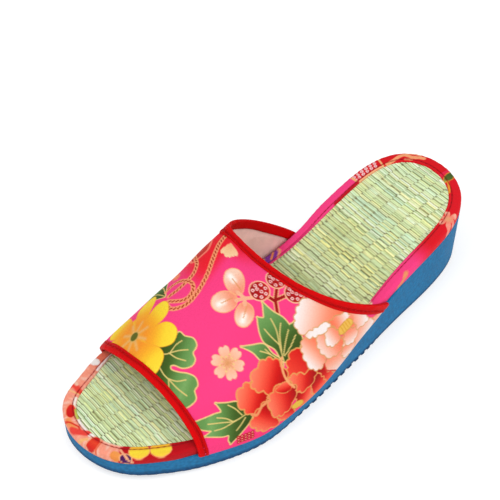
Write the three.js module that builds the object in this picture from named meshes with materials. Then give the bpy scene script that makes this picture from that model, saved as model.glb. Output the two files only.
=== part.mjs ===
// A left house slipper: an open-toed, open-backed floral vamp with bias-tape bindings,
// a fabric-wrapped footbed edge, a woven rush footbed and a wedge sole of EVA foam.
// Millimetres, +Z up. The toe points to -Y, the heel to +Y, the medial side to -X.
import * as THREE from "three";

// ---------------------------------------------------------------- driving dimensions
const LENGTH = 250; // toe tip to heel, which is also a slipper of women's medium size
const GAP = 0.3; // clearance between neighbouring pieces
const TOE_ROUNDING = 10; // power of the rounded end: higher is blunter
const HEEL_ROUNDING = 5;

const FOOTBED = 5; // height of the wrapped footbed above the sole
const RIM_WIDTH = 6.6; // visible width of the wrapped edge
const RIM_ROUND = 1.6; // rounding of the rim's outer top edge
const RUSH_DROP = 0.5; // the rush panel lies this far below the rim

const TOE_SPRING = 7; // lift of the sole under the toe tip
const SPRING_START = -61; // the sole lies flat from here back to the heel
const CHAMFER = 1.2; // bevel round the sole's lower edge

const WALL = 1.8; // vamp: outer cotton, padding and lining together
const VAMP_PROUD = 0.8; // the vamp's outer face stands this far outside the sole's top edge
const SEAT = 0.9; // room between the vamp's inner face and the footbed's edge
const FADE = 5; // length over which that room opens, beyond the vamp's ends
const FOLLOW = 2; // how soon the vamp's side walls leave the footbed's edge as they rise
const TAPE_WIDTH = 5.5; // visible width of the binding
const TAPE = 0.6; // thickness of each leg of the folded binding
const TAPE_FOLD = 1.2; // rounding of its fold

// Rows from toe to heel: the outline's centre line and half width before its ends are
// rounded, the height of the footbed's upper face, and how much narrower the sole's
// foot is than its top, on each side.
const LAST = [
  { y: -125, centre: -1.5, half: 31, footbed: 21, inset: 0 },
  { y: -105, centre: 1.5, half: 33.5, footbed: 20, inset: 0.5 },
  { y: -80, centre: 3, half: 41.5, footbed: 18.5, inset: 1 },
  { y: -50, centre: 6, half: 45.5, footbed: 16.5, inset: 1 },
  { y: -15, centre: 7, half: 42, footbed: 17.5, inset: 2 },
  { y: 25, centre: 6, half: 35.5, footbed: 26, inset: 1.5 },
  { y: 65, centre: 0.5, half: 34, footbed: 35, inset: 1 },
  { y: 100, centre: -4, half: 37.5, footbed: 39, inset: 1.5 },
  { y: 125, centre: -6, half: 41.5, footbed: 41.5, inset: 1 },
];

// Sections of the vamp: at its toe edge, half way, and at its collar edge.
// medialY, lateralY: where the section's two ends stand on the sole
// height, crownX: the crown above the mean of the two ends, and its place across
// reach, reachPower: how far the section runs forward as it rises, and how soon
// twist: the same, more on one side than on the other
const VAMP = [
  {
    medialY: -83, lateralY: -84.5, height: 26, crownX: 1.5,
    reach: -3, reachPower: 0.75, twist: 5,
  },
  {
    medialY: -21.5, lateralY: -20, height: 48.5, crownX: -7.5,
    reach: -27.5, reachPower: 0.95, twist: 0,
  },
  {
    medialY: 40, lateralY: 44.5, height: 39.5, crownX: -20.5,
    reach: -52, reachPower: 1.1, twist: -5,
  },
];

// The curve of each of these sections, for the medial and the lateral half.
// tilt: outward lean of the side wall, in degrees
// rise: the part of the height over which the wall keeps that lean
// crown: the length over which the crown stays level
const CURVES = [
  {
    medialTilt: 0, medialRise: 0.5, medialCrown: 20,
    lateralTilt: 3, lateralRise: 0.45, lateralCrown: 17,
  },
  {
    medialTilt: 12, medialRise: 0.5, medialCrown: 20,
    lateralTilt: 7, lateralRise: 0.6, lateralCrown: 27,
  },
  {
    medialTilt: 24, medialRise: 0.5, medialCrown: 20,
    lateralTilt: 11, lateralRise: 0.75, lateralCrown: 37,
  },
];

// Mesh fineness: stations along the outline, and rows and columns of the vamp.
const STATIONS = 54;
const VAMP_ROWS = 9;
const VAMP_COLUMNS = 26;
const FIRST_ROW = 0.115; // the first row clear of the toe edge's tape, 0 to 1 along the vamp

// ---------------------------------------------------------------- curves of the last
// A smooth curve through one column of LAST, with slopes weighted by the row spacing.
function alongLast(column, y) {
  const last = LAST.length - 1;
  const slope = (i) => (LAST[i + 1][column] - LAST[i][column]) / (LAST[i + 1].y - LAST[i].y);
  const span = (i) => LAST[i + 1].y - LAST[i].y;
  const tangent = (i) => {
    if (i === 0) return slope(0);
    if (i === last) return slope(last - 1);
    return (slope(i - 1) * span(i) + slope(i) * span(i - 1)) / (span(i - 1) + span(i));
  };
  let i = 0;
  while (i < last - 1 && y > LAST[i + 1].y) i += 1;
  const t = (y - LAST[i].y) / span(i);
  const ends = LAST[i][column] * (1 + 2 * t) * (1 - t) ** 2 + LAST[i + 1][column] * t * t * (3 - 2 * t);
  return ends + span(i) * (tangent(i) * t * (1 - t) ** 2 - tangent(i + 1) * t * t * (1 - t));
}

const footbedTop = (y) => alongLast("footbed", y);
const soleTop = (y) => footbedTop(y) - FOOTBED;
const soleFoot = (y) => TOE_SPRING * (Math.max(0, SPRING_START - y) / (SPRING_START + LENGTH / 2)) ** 2;
const soleInset = (y) => alongLast("inset", y);

// The outline's edge on one side (-1 medial, +1 lateral) at a station along the foot.
function edgeX(side, y) {
  const power = y < 0 ? TOE_ROUNDING : HEEL_ROUNDING;
  const rounded = Math.sqrt(Math.max(0, 1 - Math.abs((2 * y) / LENGTH) ** power));
  return alongLast("centre", y) + side * alongLast("half", y) * rounded;
}

// The outline as a closed loop, anticlockwise from above: up the lateral side from the
// toe tip, back down the medial side. Stations crowd together where the ends turn.
const sideOf = (i) => (i <= STATIONS ? 1 : -1);
const OUTLINE = [];
for (let i = 0; i < 2 * STATIONS; i += 1) {
  const y = (-LENGTH / 2) * Math.cos((Math.PI * i) / STATIONS);
  OUTLINE.push(new THREE.Vector2(edgeX(sideOf(i), y), y));
}

// The outline moved inwards by inset(y, side), square to its own direction.
function insetOutline(inset) {
  const count = OUTLINE.length;
  return OUTLINE.map((point, i) => {
    const ahead = OUTLINE[(i + 1) % count].clone().sub(OUTLINE[(i + count - 1) % count]).normalize();
    const inwards = new THREE.Vector2(-ahead.y, ahead.x);
    return point.clone().addScaledVector(inwards, inset(point.y, sideOf(i)));
  });
}

// ---------------------------------------------------------------- mesh helpers
// A closed body from a list of loops, each joined to the next. With ring true the last
// loop joins the first; otherwise the first and last loops are closed by the cap given.
function skin(loops, { ring = false, cap = null } = {}) {
  const size = loops[0].length;
  const index = [];
  const bands = ring ? loops.length : loops.length - 1;
  for (let k = 0; k < bands; k += 1) {
    const a = k * size;
    const b = ((k + 1) % loops.length) * size;
    for (let i = 0; i < size; i += 1) {
      const j = (i + 1) % size;
      index.push(a + i, a + j, b + j, a + i, b + j, b + i);
    }
  }
  if (!ring) {
    const top = (loops.length - 1) * size;
    for (const [p, q, r] of cap) {
      index.push(p, r, q, top + p, top + q, top + r);
    }
  }
  const geometry = new THREE.BufferGeometry();
  geometry.setAttribute(
    "position",
    new THREE.Float32BufferAttribute(loops.flat().flatMap((p) => [p.x, p.y, p.z]), 3),
  );
  geometry.setIndex(index);
  geometry.computeVertexNormals();
  return geometry;
}

// Cap for loops that follow the outline: strips straight across the foot.
function crosswiseCap() {
  const count = 2 * STATIONS;
  const faces = [];
  for (let i = 0; i < STATIONS; i += 1) {
    const a = i;
    const b = i + 1;
    const c = count - i - 1;
    const d = (count - i) % count;
    if (i < STATIONS - 1) faces.push([a, b, c]);
    if (i > 0) faces.push([a, c, d]);
  }
  return faces;
}

const lift = (loop, height) => loop.map((p) => new THREE.Vector3(p.x, p.y, height(p.y)));

// ---------------------------------------------------------------- the vamp's surface
// One column of a table at s, 0 at the toe edge and 1 at the collar, through all three rows.
function through(table, column, s) {
  const [toe, middle, collar] = table.map((row) => row[column]);
  return toe * (1 - s) * (1 - 2 * s) + middle * 4 * s * (1 - s) + collar * s * (2 * s - 1);
}

const bezier = (a, b, c, d, t) =>
  a * (1 - t) ** 3 + 3 * b * t * (1 - t) ** 2 + 3 * c * t * t * (1 - t) + d * t ** 3;

// The vamp's outer face: s from the toe edge to the collar, t from the medial end of
// the section (0) over the crown (1/2) to its lateral end (1).
function vampPoint(s, t) {
  const v = (column) => through(VAMP, column, s);
  const medial = { x: edgeX(-1, v("medialY")) - VAMP_PROUD, z: soleTop(v("medialY")) + GAP };
  const lateral = { x: edgeX(1, v("lateralY")) + VAMP_PROUD, z: soleTop(v("lateralY")) + GAP };
  const base = (medial.z + lateral.z) / 2;
  const height = v("height");
  const crown = { x: v("crownX"), z: base + height };
  const medialHalf = t <= 0.5;
  const [foot, half, side] = medialHalf ? [medial, "medial", -1] : [lateral, "lateral", 1];
  const c = (column) => through(CURVES, half + column, s);
  const tilt = THREE.MathUtils.degToRad(c("Tilt"));
  const rise = c("Rise") * height;
  const climb = medialHalf ? 2 * t : 2 - 2 * t;
  const outward = side * rise * Math.sin(tilt);
  let x = bezier(foot.x, foot.x + outward, crown.x + side * c("Crown"), crown.x, climb);
  const z = bezier(foot.z, foot.z + rise * Math.cos(tilt), crown.z, crown.z, climb);
  const across = THREE.MathUtils.clamp((x - medial.x) / (lateral.x - medial.x), 0, 1);
  const risen = THREE.MathUtils.clamp((z - base) / height, 0, 1);
  const start = THREE.MathUtils.lerp(v("medialY"), v("lateralY"), across);
  const y = start + v("reach") * risen ** v("reachPower") + v("twist") * risen * (2 * across - 1);
  // Low down the wall keeps to the footbed's edge, as the section runs forward.
  x += (edgeX(side, y) - edgeX(side, v(half + "Y"))) * (1 - risen) ** FOLLOW;
  return new THREE.Vector3(x, y, z);
}

const STEP = 1e-3; // for slopes of the surface by differences

// A point at a distance along the vamp from one of its edges (0 toe, 1 collar), moved
// square to the outer face by out: away from the foot when positive.
function nearEdge(edge, t, along, out) {
  const inwards = edge === 0 ? 1 : -1;
  const { alongS, alongT } = slopes(edge, t);
  const stretch = alongT.clone().cross(alongS).length() / alongT.length();
  return offVamp(edge + (inwards * along) / stretch, t, out);
}

// How the outer face runs at a point, along the foot and round the section.
function slopes(s, t) {
  const t0 = THREE.MathUtils.clamp(t, STEP, 1 - STEP);
  const alongS = vampPoint(s + STEP, t).sub(vampPoint(s - STEP, t)).divideScalar(2 * STEP);
  const alongT = vampPoint(s, t0 + STEP).sub(vampPoint(s, t0 - STEP)).divideScalar(2 * STEP);
  return { alongS, alongT };
}

// A point moved square to the outer face; the two ends of a section stay on the sole.
function offVamp(s, t, out) {
  const { alongS, alongT } = slopes(s, t);
  const normal = alongT.cross(alongS).normalize();
  const point = vampPoint(s, t).addScaledVector(normal, out);
  const onSole = t === 0 || t === 1;
  if (onSole) point.z = soleTop(point.y) + GAP;
  return point;
}

// ---------------------------------------------------------------- pieces
// The wedge: narrower at its foot, with a bevel round the lower edge and toe spring.
function sole() {
  const foot = insetOutline((y) => soleInset(y) + CHAMFER);
  const bevel = insetOutline((y) => soleInset(y));
  const loops = [
    lift(foot, soleFoot),
    lift(bevel, (y) => soleFoot(y) + CHAMFER),
    lift(OUTLINE, soleTop),
  ];
  return skin(loops, { cap: crosswiseCap() });
}

// How far the footbed draws in from the outline to leave room for the vamp: a little
// beside the vamp's wall, more beside the thicker bindings.
function vampRoom(y, side) {
  const column = side < 0 ? "medialY" : "lateralY";
  const toe = VAMP[0][column];
  const collar = VAMP[2][column];
  const ramp = (distance) => THREE.MathUtils.smoothstep(distance, 0, FADE);
  const wall = WALL - VAMP_PROUD + SEAT;
  const binding = TAPE + SEAT - GAP;
  const beside = ramp(y - toe + FADE) * ramp(collar + FADE - y);
  const near = (edge) => ramp(FADE + TAPE_WIDTH - Math.abs(y - edge));
  const middles = [toe + TAPE_WIDTH / 2, collar - TAPE_WIDTH / 2];
  return wall * beside + binding * Math.max(...middles.map(near));
}

// The wrapped edge of the footbed: a ring that runs all round it, under the vamp too.
function footbedRim() {
  const bevel = RIM_ROUND * (1 - Math.SQRT1_2);
  const profile = [
    { inset: 0, height: GAP },
    { inset: 0, height: FOOTBED - RIM_ROUND },
    { inset: bevel, height: FOOTBED - bevel },
    { inset: RIM_ROUND, height: FOOTBED },
    { inset: RIM_WIDTH, height: FOOTBED },
    { inset: RIM_WIDTH, height: GAP },
  ];
  const loops = profile.map(({ inset, height }) => {
    const room = (y, side) => (inset < RIM_WIDTH ? vampRoom(y, side) : 0);
    const loop = insetOutline((y, side) => inset + room(y, side));
    return lift(loop, (y) => soleTop(y) + height);
  });
  return skin(loops, { ring: true });
}

// The woven rush inside that ring, a little below its top.
function rushPanel() {
  const loop = insetOutline(() => RIM_WIDTH + GAP);
  const loops = [
    lift(loop, (y) => soleTop(y) + GAP),
    lift(loop, (y) => footbedTop(y) - RUSH_DROP),
  ];
  return skin(loops, { cap: crosswiseCap() });
}

// The vamp's wall reaches into each binding, up to its fold. Each loop of the skin runs
// over the outer face from the medial to the lateral side and back along the inner face.
function vamp() {
  const columns = Array.from({ length: VAMP_COLUMNS + 1 }, (_, i) => i / VAMP_COLUMNS);
  const under = [TAPE + GAP, TAPE_WIDTH];
  const between = Array.from({ length: VAMP_ROWS }, (_, k) =>
    THREE.MathUtils.lerp(FIRST_ROW, 1 - FIRST_ROW, k / (VAMP_ROWS - 1)),
  );
  const rows = [
    ...under.map((along) => (t, out) => nearEdge(0, t, along, out)),
    ...between.map((s) => (t, out) => offVamp(s, t, out)),
    ...under.map((along) => (t, out) => nearEdge(1, t, along, out)).reverse(),
  ];
  const loops = rows.map((at) => {
    const outer = columns.map((t) => at(t, 0));
    const inner = columns.map((t) => at(t, -WALL)).reverse();
    return [...outer, ...inner];
  });
  const size = columns.length;
  const cap = [];
  for (let i = 0; i < size - 1; i += 1) {
    const [a, b, c, d] = [i, i + 1, 2 * size - 2 - i, 2 * size - 1 - i];
    cap.push([a, b, c], [a, c, d]);
  }
  return skin(loops, { cap });
}

// A tape folded over one edge of the vamp: a channel with two legs, the vamp's wall
// between them. along is measured from the fold, out from the vamp's outer face.
function binding(edge) {
  const outside = GAP + TAPE;
  const inside = -WALL - GAP - TAPE;
  const middle = -WALL / 2;
  const profile = [
    { along: TAPE_WIDTH, out: GAP },
    { along: TAPE_WIDTH, out: outside - TAPE / 2 },
    { along: TAPE_WIDTH - TAPE, out: outside },
    { along: TAPE_FOLD, out: outside },
    { along: 0, out: middle + TAPE_FOLD },
    { along: 0, out: middle - TAPE_FOLD },
    { along: TAPE_FOLD, out: inside },
    { along: TAPE_WIDTH - TAPE, out: inside },
    { along: TAPE_WIDTH, out: inside + TAPE / 2 },
    { along: TAPE_WIDTH, out: -WALL - GAP },
    { along: TAPE, out: -WALL - GAP },
    { along: TAPE, out: GAP },
  ];
  const forwards = edge === 0 ? 1 : -1;
  if (edge === 1) profile.reverse();
  const loops = [];
  for (let i = 0; i <= VAMP_COLUMNS; i += 1) {
    loops.push(profile.map(({ along, out }) => nearEdge(edge, i / VAMP_COLUMNS, along, out)));
  }
  const flat = profile.map(({ along, out }) => new THREE.Vector2(forwards * along, out));
  return skin(loops, { cap: THREE.ShapeUtils.triangulateShape(flat, []) });
}

// ---------------------------------------------------------------- assembly
function piece(name, geometry, color, roughness) {
  const mesh = new THREE.Mesh(geometry, new THREE.MeshStandardMaterial({ color, roughness, metalness: 0 }));
  mesh.name = name;
  return mesh;
}

const slipper = new THREE.Group();
slipper.add(
  piece("sole", sole(), 0x2d78a8, 0.75),
  piece("footbed_rim", footbedRim(), 0xd8403c, 0.85),
  piece("rush_insole", rushPanel(), 0xc9cf96, 0.8),
  piece("vamp", vamp(), 0xf0408c, 0.85),
  piece("toe_binding", binding(0), 0xd81818, 0.6),
  piece("collar_binding", binding(1), 0xd81818, 0.6),
);

// The origin is on the floor, under the middle of the whole slipper.
const extent = new THREE.Box3().setFromObject(slipper);
const centre = extent.getCenter(new THREE.Vector3());
slipper.position.set(-centre.x, -centre.y, -extent.min.z);

export default slipper;
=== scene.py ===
"""The looks of a left house slipper: open toe, printed cotton vamp, red bias-tape
bindings, fabric-wrapped footbed edge, woven rush footbed and a foam wedge sole."""
import math

import bpy
import numpy as np
from mathutils import Matrix, Vector


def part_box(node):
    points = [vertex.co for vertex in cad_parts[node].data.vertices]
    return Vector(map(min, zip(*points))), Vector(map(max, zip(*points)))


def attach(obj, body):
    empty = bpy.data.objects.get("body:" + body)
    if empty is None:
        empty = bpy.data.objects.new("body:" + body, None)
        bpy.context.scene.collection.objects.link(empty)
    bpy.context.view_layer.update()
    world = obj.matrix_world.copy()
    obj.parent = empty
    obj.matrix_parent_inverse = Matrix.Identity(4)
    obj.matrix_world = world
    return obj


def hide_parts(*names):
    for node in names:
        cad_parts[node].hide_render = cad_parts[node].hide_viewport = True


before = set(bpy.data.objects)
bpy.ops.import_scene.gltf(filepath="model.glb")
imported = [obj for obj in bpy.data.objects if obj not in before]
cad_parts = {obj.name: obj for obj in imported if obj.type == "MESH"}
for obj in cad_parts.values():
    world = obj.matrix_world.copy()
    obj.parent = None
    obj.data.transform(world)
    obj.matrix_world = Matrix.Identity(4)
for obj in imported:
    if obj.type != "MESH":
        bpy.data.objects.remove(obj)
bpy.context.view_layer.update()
MM = 0.001
LEVEL = 0.8  # the lamps and the room together light a surface a quarter above 1

# ------------------------------------------------------------------ the shoe's own sizes
# Millimetres: toe to -y, heel to +y, medial side to -x. They repeat the CAD source, but
# for the tape, which is 0.4 narrower here.
LENGTH = 250.0
FOOTBED = 5.0
RIM_WIDTH = 6.6
RUSH_DROP = 0.5
TOE_POWER, HEEL_POWER = 10.0, 5.0
TOE_SPRING, SPRING_START, CHAMFER = 7.0, -61.0, 1.2
VAMP_PROUD, GAP, FOLLOW = 0.8, 0.3, 2.0
TAPE_WIDTH = 5.1

LAST = {
    "y": (-125, -105, -80, -50, -15, 25, 65, 100, 125),
    "centre": (-1.5, 1.5, 3, 6, 7, 6, 0.5, -4, -6),
    "half": (31, 33.5, 41.5, 45.5, 42, 35.5, 34, 37.5, 41.5),
    "footbed": (21, 20, 18.5, 16.5, 17.5, 26, 35, 39, 41.5),
    "inset": (0, 0.5, 1, 1, 2, 1.5, 1, 1.5, 1),
}
VAMP = {
    "medial_y": (-83, -21.5, 40),
    "lateral_y": (-84.5, -20, 44.5),
    "height": (26, 48.5, 39.5),
    "crown_x": (1.5, -7.5, -20.5),
    "reach": (-3, -27.5, -52),
    "reach_power": (0.75, 0.95, 1.1),
    "twist": (5, 0, -5),
    "medial_tilt": (0, 12, 24),
    "medial_rise": (0.5, 0.5, 0.5),
    "medial_crown": (20, 20, 20),
    "lateral_tilt": (3, 7, 11),
    "lateral_rise": (0.45, 0.6, 0.75),
    "lateral_crown": (17, 27, 37),
}

# ------------------------------------------------------------------ sizes of the finish
CLOTH_BACK, LINING_OUT, LINING_BACK = -0.7, -0.75, -1.35  # from the vamp's outer face
TAPE_OUT = 0.5  # how far each leg of the tape stands off the cloth
STITCH_AT, STITCH_DENT = 3.5, 0.26
RIM_TOP, RIM_SEAM = 5.1, 4.95  # heights over the sole, on the wrapped edge and in its seam
RIM_STITCH, RIM_SPACING = 5.1, 2.8
RUSH_TUCK = 0.9  # how far the rush runs in under the wrapped edge
RUSH_ROOM = 0.35  # how far the stalks' roots lie below the footbed's top
WARP_PITCH = 7.3
PAIR_RATE = 0.452  # pairs of stalks in a millimetre
RAISED = 0.54  # the share of a pair taken up by its raised stalk
BAND = (2.6, 1.7, 0.7, 0.0)  # heights of the sole's darker band above its bevel, partly painted shade
ZIGZAG, RIB_PITCH, RIB_DEPTH = 11.5, 5.0, 1.1


# ------------------------------------------------------------------ curves and surfaces
def along_last(column, y):
    """A smooth curve through one column of LAST."""
    rows = np.array(LAST["y"], float)
    values = np.array(LAST[column], float)
    span = np.diff(rows)
    slope = np.diff(values) / span
    inner = (slope[:-1] * span[1:] + slope[1:] * span[:-1]) / (span[:-1] + span[1:])
    tangent = np.concatenate([slope[:1], inner, slope[-1:]])
    y = np.asarray(y, float)
    i = np.clip(np.searchsorted(rows, y) - 1, 0, len(span) - 1)
    t = (y - rows[i]) / span[i]
    ends = values[i] * (1 + 2 * t) * (1 - t) ** 2 + values[i + 1] * t * t * (3 - 2 * t)
    return ends + span[i] * (tangent[i] * t * (1 - t) ** 2 - tangent[i + 1] * t * t * (1 - t))


def sole_top(y):
    return along_last("footbed", y) - FOOTBED


def sole_foot(y):
    lifted = np.maximum(0, SPRING_START - y) / (SPRING_START + LENGTH / 2)
    return TOE_SPRING * lifted ** 2


def sole_inset(y):
    return along_last("inset", y)


def edge_x(side, y):
    y = np.asarray(y, float)
    power = np.where(y < 0, TOE_POWER, HEEL_POWER)
    rounded = np.sqrt(np.clip(1 - np.abs(2 * y / LENGTH) ** power, 0, 1))
    return along_last("centre", y) + side * along_last("half", y) * rounded


def bezier(a, b, c, d, t):
    return a * (1 - t) ** 3 + 3 * b * t * (1 - t) ** 2 + 3 * c * t * t * (1 - t) + d * t ** 3


def vamp_point(s, t):
    """The vamp's outer face: s from its toe edge (0) to its collar (1), t from the
    medial side (0) over the crown (1/2) to the lateral side (1)."""
    s, t = np.broadcast_arrays(np.asarray(s, float), np.asarray(t, float))

    def at(column):
        toe, middle, collar = VAMP[column]
        return toe * (1 - s) * (1 - 2 * s) + middle * 4 * s * (1 - s) + collar * s * (2 * s - 1)

    def by_side(name):
        return np.where(medial, at("medial_" + name), at("lateral_" + name))

    medial = t <= 0.5
    medial_y, lateral_y, height = at("medial_y"), at("lateral_y"), at("height")
    medial_x, medial_z = edge_x(-1, medial_y) - VAMP_PROUD, sole_top(medial_y) + GAP
    lateral_x, lateral_z = edge_x(1, lateral_y) + VAMP_PROUD, sole_top(lateral_y) + GAP
    base = (medial_z + lateral_z) / 2
    crown_x, crown_z = at("crown_x"), base + height
    side = np.where(medial, -1.0, 1.0)
    foot_x = np.where(medial, medial_x, lateral_x)
    foot_z = np.where(medial, medial_z, lateral_z)
    tilt = np.radians(by_side("tilt"))
    rise = by_side("rise") * height
    climb = np.where(medial, 2 * t, 2 - 2 * t)
    shoulder_x = crown_x + side * by_side("crown")
    x = bezier(foot_x, foot_x + side * rise * np.sin(tilt), shoulder_x, crown_x, climb)
    z = bezier(foot_z, foot_z + rise * np.cos(tilt), crown_z, crown_z, climb)
    across = np.clip((x - medial_x) / (lateral_x - medial_x), 0, 1)
    risen = np.clip((z - base) / height, 0, 1)
    y = medial_y + (lateral_y - medial_y) * across
    y = y + at("reach") * risen ** at("reach_power") + at("twist") * risen * (2 * across - 1)
    x = x + (edge_x(side, y) - edge_x(side, by_side("y"))) * (1 - risen) ** FOLLOW
    return np.stack([x, y, z], -1)


STEP = 1e-3


def vamp_slopes(s, t):
    inner = np.clip(t, STEP, 1 - STEP)
    along_s = (vamp_point(s + STEP, t) - vamp_point(s - STEP, t)) / (2 * STEP)
    along_t = (vamp_point(s, inner + STEP) - vamp_point(s, inner - STEP)) / (2 * STEP)
    return along_s, along_t


def off_vamp(s, t, out):
    """The vamp's surface moved out along its normal; its lowest points stay on the sole."""
    s, t, out = np.broadcast_arrays(s, t, out)
    along_s, along_t = vamp_slopes(s, t)
    normal = np.cross(along_t, along_s)
    normal /= np.linalg.norm(normal, axis=-1, keepdims=True)
    point = vamp_point(s, t) + normal * out[..., None]
    on_sole = (t == 0) | (t == 1)
    point[..., 2] = np.where(on_sole, sole_top(point[..., 1]), point[..., 2])
    return point


def edge_s(edge, t, along):
    """The s of a line that runs at a distance along the vamp from one of its edges."""
    t = np.asarray(t, float)
    along_s, along_t = vamp_slopes(np.full(t.shape, float(edge)), t)
    stretch = np.linalg.norm(np.cross(along_t, along_s), axis=-1) / np.linalg.norm(along_t, axis=-1)
    return edge + (1 if edge == 0 else -1) * along / stretch


def stations(count):
    """Places along the foot, crowded together where the ends turn."""
    return -LENGTH / 2 * np.cos(np.pi * np.arange(count + 1) / count)


def outline_loop(count):
    """The outline as a closed loop, up the lateral side from the toe and back down the
    medial side: its points, its inward directions and which side each is on."""
    y = stations(count)
    y = np.concatenate([y, y[-2:0:-1]])
    side = np.where(np.arange(2 * count) <= count, 1.0, -1.0)
    points = np.stack([edge_x(side, y), y], -1)
    ahead = np.roll(points, -1, axis=0) - np.roll(points, 1, axis=0)
    ahead /= np.linalg.norm(ahead, axis=1, keepdims=True)
    return points, np.stack([-ahead[:, 1], ahead[:, 0]], -1), side


# How far the frame's x stands from the x of the tables above, by the sole's box.
box_lo, box_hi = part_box("sole")
outline_x = outline_loop(400)[0][:, 0]
SHIFT_X = (box_lo.x + box_hi.x) / 2 / MM - (outline_x.min() + outline_x.max()) / 2


# ------------------------------------------------------------------ mesh helpers
def smooth(edge0, edge1, x):
    t = np.clip((x - edge0) / (edge1 - edge0), 0, 1)
    return t * t * (3 - 2 * t)


def linear(rgb):
    """Display colours, 0 to 255, as the surface colours that look so under the lamps."""
    c = np.clip(np.asarray(rgb, float) / 255, 0, 1)
    return np.where(c <= 0.04045, c / 12.92, ((c + 0.055) / 1.055) ** 2.4) * LEVEL


def new_piece(name, points, faces, cad_node, surface):
    """A smooth-shaded mesh from points in millimetres, riding on the shoe."""
    mesh = bpy.data.meshes.new(name)
    where = (np.asarray(points, float).reshape(-1, 3) + (SHIFT_X, 0, 0)) * MM
    mesh.from_pydata(where.tolist(), [], faces)
    mesh.shade_smooth()
    mesh.materials.append(surface)
    mesh.update()
    piece = bpy.data.objects.new(name, mesh)
    bpy.context.scene.collection.objects.link(piece)
    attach(piece, "root")
    if cad_node:
        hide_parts(cad_node)
    return piece


def paint(piece, name, rgb):
    """A colour for each vertex, from display colours."""
    values = np.ones((len(rgb), 4), np.float32)
    values[:, :3] = linear(rgb)
    layer = piece.data.color_attributes.new(name=name, type="FLOAT_COLOR", domain="POINT")
    layer.data.foreach_set("color", values.ravel())


def cloth_map(piece, uv):
    """A UV map in millimetres of cloth, for the weave."""
    corner = np.zeros(len(piece.data.loops), np.int32)
    piece.data.loops.foreach_get("vertex_index", corner)
    layer = piece.data.uv_layers.new(name="Cloth")
    layer.data.foreach_set("uv", np.asarray(uv, np.float32)[corner].ravel())


def grid_faces(rows, columns, start=0, flip=False, wrap=False):
    """Quads between neighbouring points of a grid numbered row by row."""
    across = columns if wrap else columns - 1
    i, j = np.meshgrid(np.arange(rows - 1), np.arange(across), indexing="ij")
    k = (j + 1) % columns
    a, b = start + i * columns + j, start + i * columns + k
    c, d = a + columns, b + columns
    order = (a, c, d, b) if flip else (a, b, d, c)
    return np.stack([x.ravel() for x in order], -1).tolist()


def distance_along(line):
    """How far along a line of points each of its points is."""
    steps = np.linalg.norm(np.diff(line, axis=0), axis=1)
    return np.concatenate([[0], np.cumsum(steps)])


def ripple(a, b=0.0, seed=0):
    """A smooth wandering value near -1 to 1, different for each seed."""
    angles = np.random.default_rng(seed).uniform(0, 2 * np.pi, 8)
    total = np.zeros(np.broadcast(a, b).shape)
    for k, angle in enumerate(angles):
        total = total + np.sin(a * (0.6 + 0.47 * k) + b * (1.9 - 0.51 * k) + angle) / 8 ** 0.5
    return total


# ------------------------------------------------------------------ materials
def material(name, roughness, sheen, specular):
    made = bpy.data.materials.new(name)
    made.use_nodes = True
    shader = made.node_tree.nodes["Principled BSDF"]
    shader.inputs["Roughness"].default_value = roughness
    shader.inputs["Sheen Weight"].default_value = sheen
    shader.inputs["Specular IOR Level"].default_value = specular
    return made, made.node_tree, shader


def node(tree, kind, inputs=(), **settings):
    made = tree.nodes.new("ShaderNode" + kind)
    for key, value in settings.items():
        setattr(made, key, value)
    for key, value in dict(inputs).items():
        if isinstance(value, bpy.types.NodeSocket):
            tree.links.new(value, made.inputs[key])
        else:
            made.inputs[key].default_value = value
    return made


def math_node(tree, operation, a, b=0.0):
    return node(tree, "Math", {0: a, 1: b}, operation=operation).outputs[0]


def object_mm(tree):
    """Object coordinates in millimetres."""
    coordinates = node(tree, "TexCoord").outputs["Object"]
    return stretched(tree, coordinates, (1 / MM, 1 / MM, 1 / MM))


def stretched(tree, vector, scale):
    return node(tree, "Mapping", {"Vector": vector, "Scale": scale}).outputs[0]


def cloth_mm(tree):
    return node(tree, "UVMap", uv_map="Cloth").outputs[0]


def vertex_colour(tree, name):
    return node(tree, "Attribute", attribute_name=name).outputs["Color"]


def noise(tree, vector, scale, detail):
    made = node(tree, "TexNoise", {"Vector": vector, "Scale": scale, "Detail": detail})
    return made.outputs["Fac"]


def waves(tree, vector, period, direction="X", distortion=0.0):
    """Even ridges, 0 to 1, with that period in millimetres."""
    scale = 2 * math.pi / 20 / period  # the texture repeats every 2 pi / 20 at scale 1
    inputs = {"Vector": vector, "Scale": scale, "Distortion": distortion}
    made = node(tree, "TexWave", inputs, wave_type="BANDS", bands_direction=direction)
    return made.outputs["Fac"]


def weave_height(tree, vector, period):
    """Plain weave: two crossing sets of threads."""
    warp = waves(tree, vector, period, "X")
    weft = waves(tree, vector, period, "Y")
    return math_node(tree, "MULTIPLY", warp, weft)


def add_bump(tree, shader, height, distance):
    bump = node(tree, "Bump", {"Height": height, "Distance": distance * MM, "Strength": 1.0})
    tree.links.new(bump.outputs[0], shader.inputs["Normal"])


def tint(tree, shader, colour, *changes):
    """The surface's colour, made darker or lighter by each (factor, low, high) in turn."""
    for factor, low, high in changes:
        level = in_range(tree, factor, low, high)
        inputs = {0: 1.0, 6: colour, 7: level}
        mixed = node(tree, "Mix", inputs, data_type="RGBA", blend_type="MULTIPLY")
        colour = mixed.outputs[2]
    tree.links.new(colour, shader.inputs["Base Color"])


def in_range(tree, factor, low, high):
    return node(tree, "MapRange", {"Value": factor, "To Min": low, "To Max": high}).outputs[0]


def roughen(tree, shader, factor, low, high):
    tree.links.new(in_range(tree, factor, low, high), shader.inputs["Roughness"])


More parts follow.
